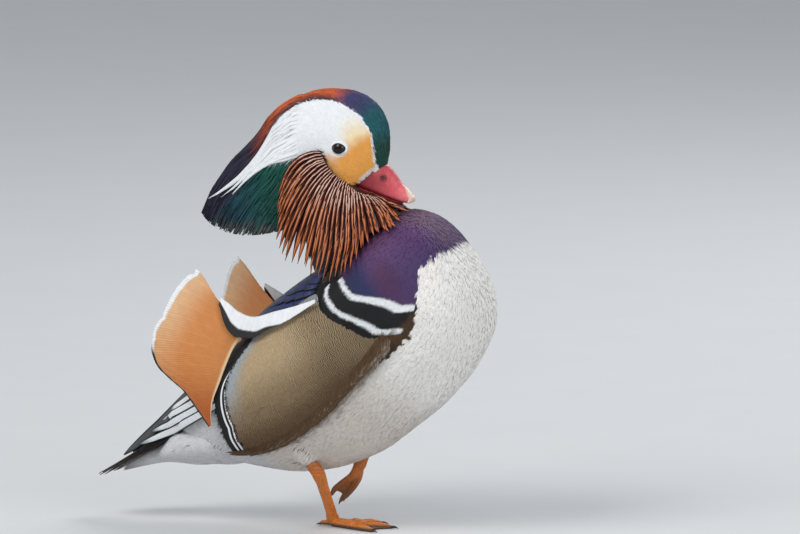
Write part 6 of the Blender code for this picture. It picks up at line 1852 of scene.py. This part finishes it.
def legs():
    skin_look = scaly("leg scales")
    horn = Nodes("claw horn")
    horn_look = horn.done(horn.scaled(horn.shade(), horn.grain(1.5)), 0.35, horn.grain(0.4), 0.2, 0.0001)
    orange, brown = rgb(214, 120, 40), rgb(140, 84, 44)
    leg = merged("standing_leg", [tube("leg form", TARSUS, count=60, ends=1.5)], 0.55, 2)
    x, y, z = points_of(leg).T
    ridges = 1 - 0.25 * ease(0.5, 1.0, np.sin(z * 2.6)) * ease(30, 36, z)
    attribute(leg, "Shade", mix(orange, brown, ease(36, 44, z) * 0.5) * ridges[:, None])
    finish_piece(leg, skin_look, "leg", ("tarsus_right",))
    shapes, ends = [], []
    for k, (angle, length) in enumerate(TOES + (HIND_TOE,)):
        path = toe_path(angle, length)
        if k == 3:
            path = [(place, depth * 0.7, width * 0.7) for place, depth, width in path]
        shapes.append(tube(f"toe {k}", path, count=40, ends=0.6))
        ends.append(path)
    outline = [np.array((FOOT[0], FOOT[1]))]
    for k in range(3):
        outline.append(np.array(ends[k][-1][0][:2]))
        if k < 2:
            other = np.array(ends[k + 1][-1][0][:2])
            for share in (0.25, 0.5, 0.75):
                edge = outline[-1 if share == 0.25 else -1] if share == 0.25 else start
                start = edge
                point = start * (1 - share) + other * share
                inward = (FOOT - point) / np.linalg.norm(FOOT - point)
                outline.append(point + inward * 5.5 * math.sin(math.pi * share))
    flat = np.array(outline)
    count = len(flat)
    points = [(x, y, z) for z in (0.35, 1.5) for x, y in flat]
    faces = [list(range(count))[::-1], list(range(count, 2 * count))]
    faces += [(i, (i + 1) % count, count + (i + 1) % count, count + i) for i in range(count)]
    shapes.append(outward_faces(mesh_object("web form", points, faces)))
    foot = merged("standing_foot", shapes, 0.5, 3)
    places = points_of(foot)
    places[:, 2] = np.maximum(places[:, 2], 0.02)
    foot.data.vertices.foreach_set("co", to_frame(places).astype(np.float32).ravel())
    height = places[:, 2]
    tone = mix(rgb(96, 66, 40), orange, ease(1.7, 3.2, height))
    joints = 1 - 0.2 * ease(0.6, 1, np.sin(np.hypot(places[:, 0] - FOOT[0], places[:, 1] - FOOT[1]) * 2.4))
    attribute(foot, "Shade", tone * joints[:, None])
    finish_piece(foot, skin_look, "leg", ("foot_right",))
    claws = []
    for k, ((angle, length), path) in enumerate(zip(TOES + (HIND_TOE,), ends)):
        ahead = np.array([math.cos(math.radians(angle)), math.sin(math.radians(angle)), 0])
        base, tip = path[-1][0] - ahead * 0.8, path[-1][0] + ahead * (5.2 if k < 3 else 3.0)
        tip[2] = 0.5
        claws.append(claw(f"claw {k}", base, tip, 1.15 if k < 3 else 0.8))
    for path in LIFTED_TOES:
        tip, before = np.array(path[-1], float), np.array(path[-2], float)
        ahead = unit(tip - before)
        claws.append(claw("claw lifted", tip - ahead * 0.8, tip + ahead * 2.6 + (0.4, 0, -0.4), 1.0))
    claws = merged("claws", claws, 0.2, 1)
    attribute(claws, "Shade", np.broadcast_to(rgb(44, 34, 28), (len(claws.data.vertices), 3)))
    finish_piece(claws, horn_look, "leg")
    shapes = [tube(f"lifted toe {k}", [(place, *size) for place, size in zip(path, LIFTED_SIZES)], ends=0.5)
              for k, path in enumerate(LIFTED_TOES)]
    for a, b in ((0, 1), (1, 2)):
        grid = between(LIFTED_TOES[a][:-1], LIFTED_TOES[b][:-1], 24, 10, bulge=(-1.2, 0, 1.2))
        shapes.append(sheet(f"lifted web {a}", grid[4:], 1.3))
    foot = merged("lifted_foot", shapes, 0.5, 3)
    z = points_of(foot)[:, 2]
    attribute(foot, "Shade", mix(rgb(120, 74, 40), rgb(196, 112, 44), ease(18, 38, z)))
    finish_piece(foot, skin_look, "leg", ("foot_left",))
    leg = merged("lifted_leg", [tube("lifted form", LIFTED_LEG, count=50, ends=0.5)], 0.5, 2)
    attribute(leg, "Shade", np.broadcast_to(rgb(190, 108, 42), (len(leg.data.vertices), 3)))
    finish_piece(leg, skin_look, "leg", ("tarsus_left",))


bill()
eyes()
legs()


# The floor, the light and the camera: they aren't part of the bird.
def floor():
    over, away = np.meshgrid(np.linspace(-9000, 9000, 7), np.linspace(-9000, 9000, 7), indexing="ij")
    index = np.arange(49).reshape(7, 7)
    faces = np.stack([index[:-1, :-1], index[1:, :-1], index[1:, 1:], index[:-1, 1:]], -1).reshape(-1, 4)
    made = mesh_object("floor", np.column_stack([over.ravel(), away.ravel(), np.zeros(49)]) - SHIFT, faces)
    nodes = Nodes("pale floor")
    look = nodes.done(nodes.scaled((0.6, 0.61, 0.62), nodes.grain(60, 2, 0.992, 1.008)), 0.75, specular=0.2)
    made.data.materials.append(look)


def lamp(name, place, aim, size, power, tint):
    data = bpy.data.lights.new(name, "AREA")
    data.shape = "RECTANGLE"
    data.size, data.size_y = size
    data.energy = power
    data.color = tint
    made = bpy.data.objects.new(name, data)
    made.location = place
    made.rotation_euler = (Vector(aim) - Vector(place)).to_track_quat("-Z", "Y").to_euler()
    bpy.context.scene.collection.objects.link(made)


CAMERA_AWAY = 12000


def stage():
    floor()
    lamp("key", (-0.9, -1.7, 1.9), (0, 0, 0.14), (1.4, 1.4), 40, (1.0, 0.985, 0.96))
    lamp("fill", (1.9, -1.3, 0.9), (0, 0, 0.14), (1.6, 1.4), 16, (0.95, 0.975, 1.0))
    lamp("rim", (0.5, 1.8, 1.7), (0, 0, 0.16), (1.2, 1.0), 22, (1, 1, 1))
    world = bpy.data.worlds.new("soft sky")
    world.use_nodes = True
    world.node_tree.nodes["Background"].inputs[0].default_value = (0.86, 0.9, 0.95, 1)
    world.node_tree.nodes["Background"].inputs[1].default_value = 0.55
    bpy.context.scene.world = world
    data = bpy.data.cameras.new("camera")
    turn, lift = math.radians(20), math.radians(7)
    right = np.array([math.cos(turn), math.sin(turn), 0])
    up = np.array([-math.sin(turn) * math.sin(lift), math.cos(turn) * math.sin(lift), math.cos(lift)])
    back = np.array([math.sin(turn) * math.cos(lift), -math.cos(turn) * math.cos(lift), math.sin(lift)])
    middle = right * 40.26 + up * 170.94
    camera = bpy.data.objects.new("camera", data)
    camera.location = to_frame(middle + back * CAMERA_AWAY)
    camera.rotation_euler = Matrix((right, up, back)).transposed().to_euler()
    data.lens = CAMERA_AWAY / 528 * 36
    data.sensor_width = 36
    data.clip_end = 50
    bpy.context.scene.collection.objects.link(camera)
    bpy.context.scene.camera = camera
    bpy.context.scene.view_settings.view_transform = "Standard"


stage()
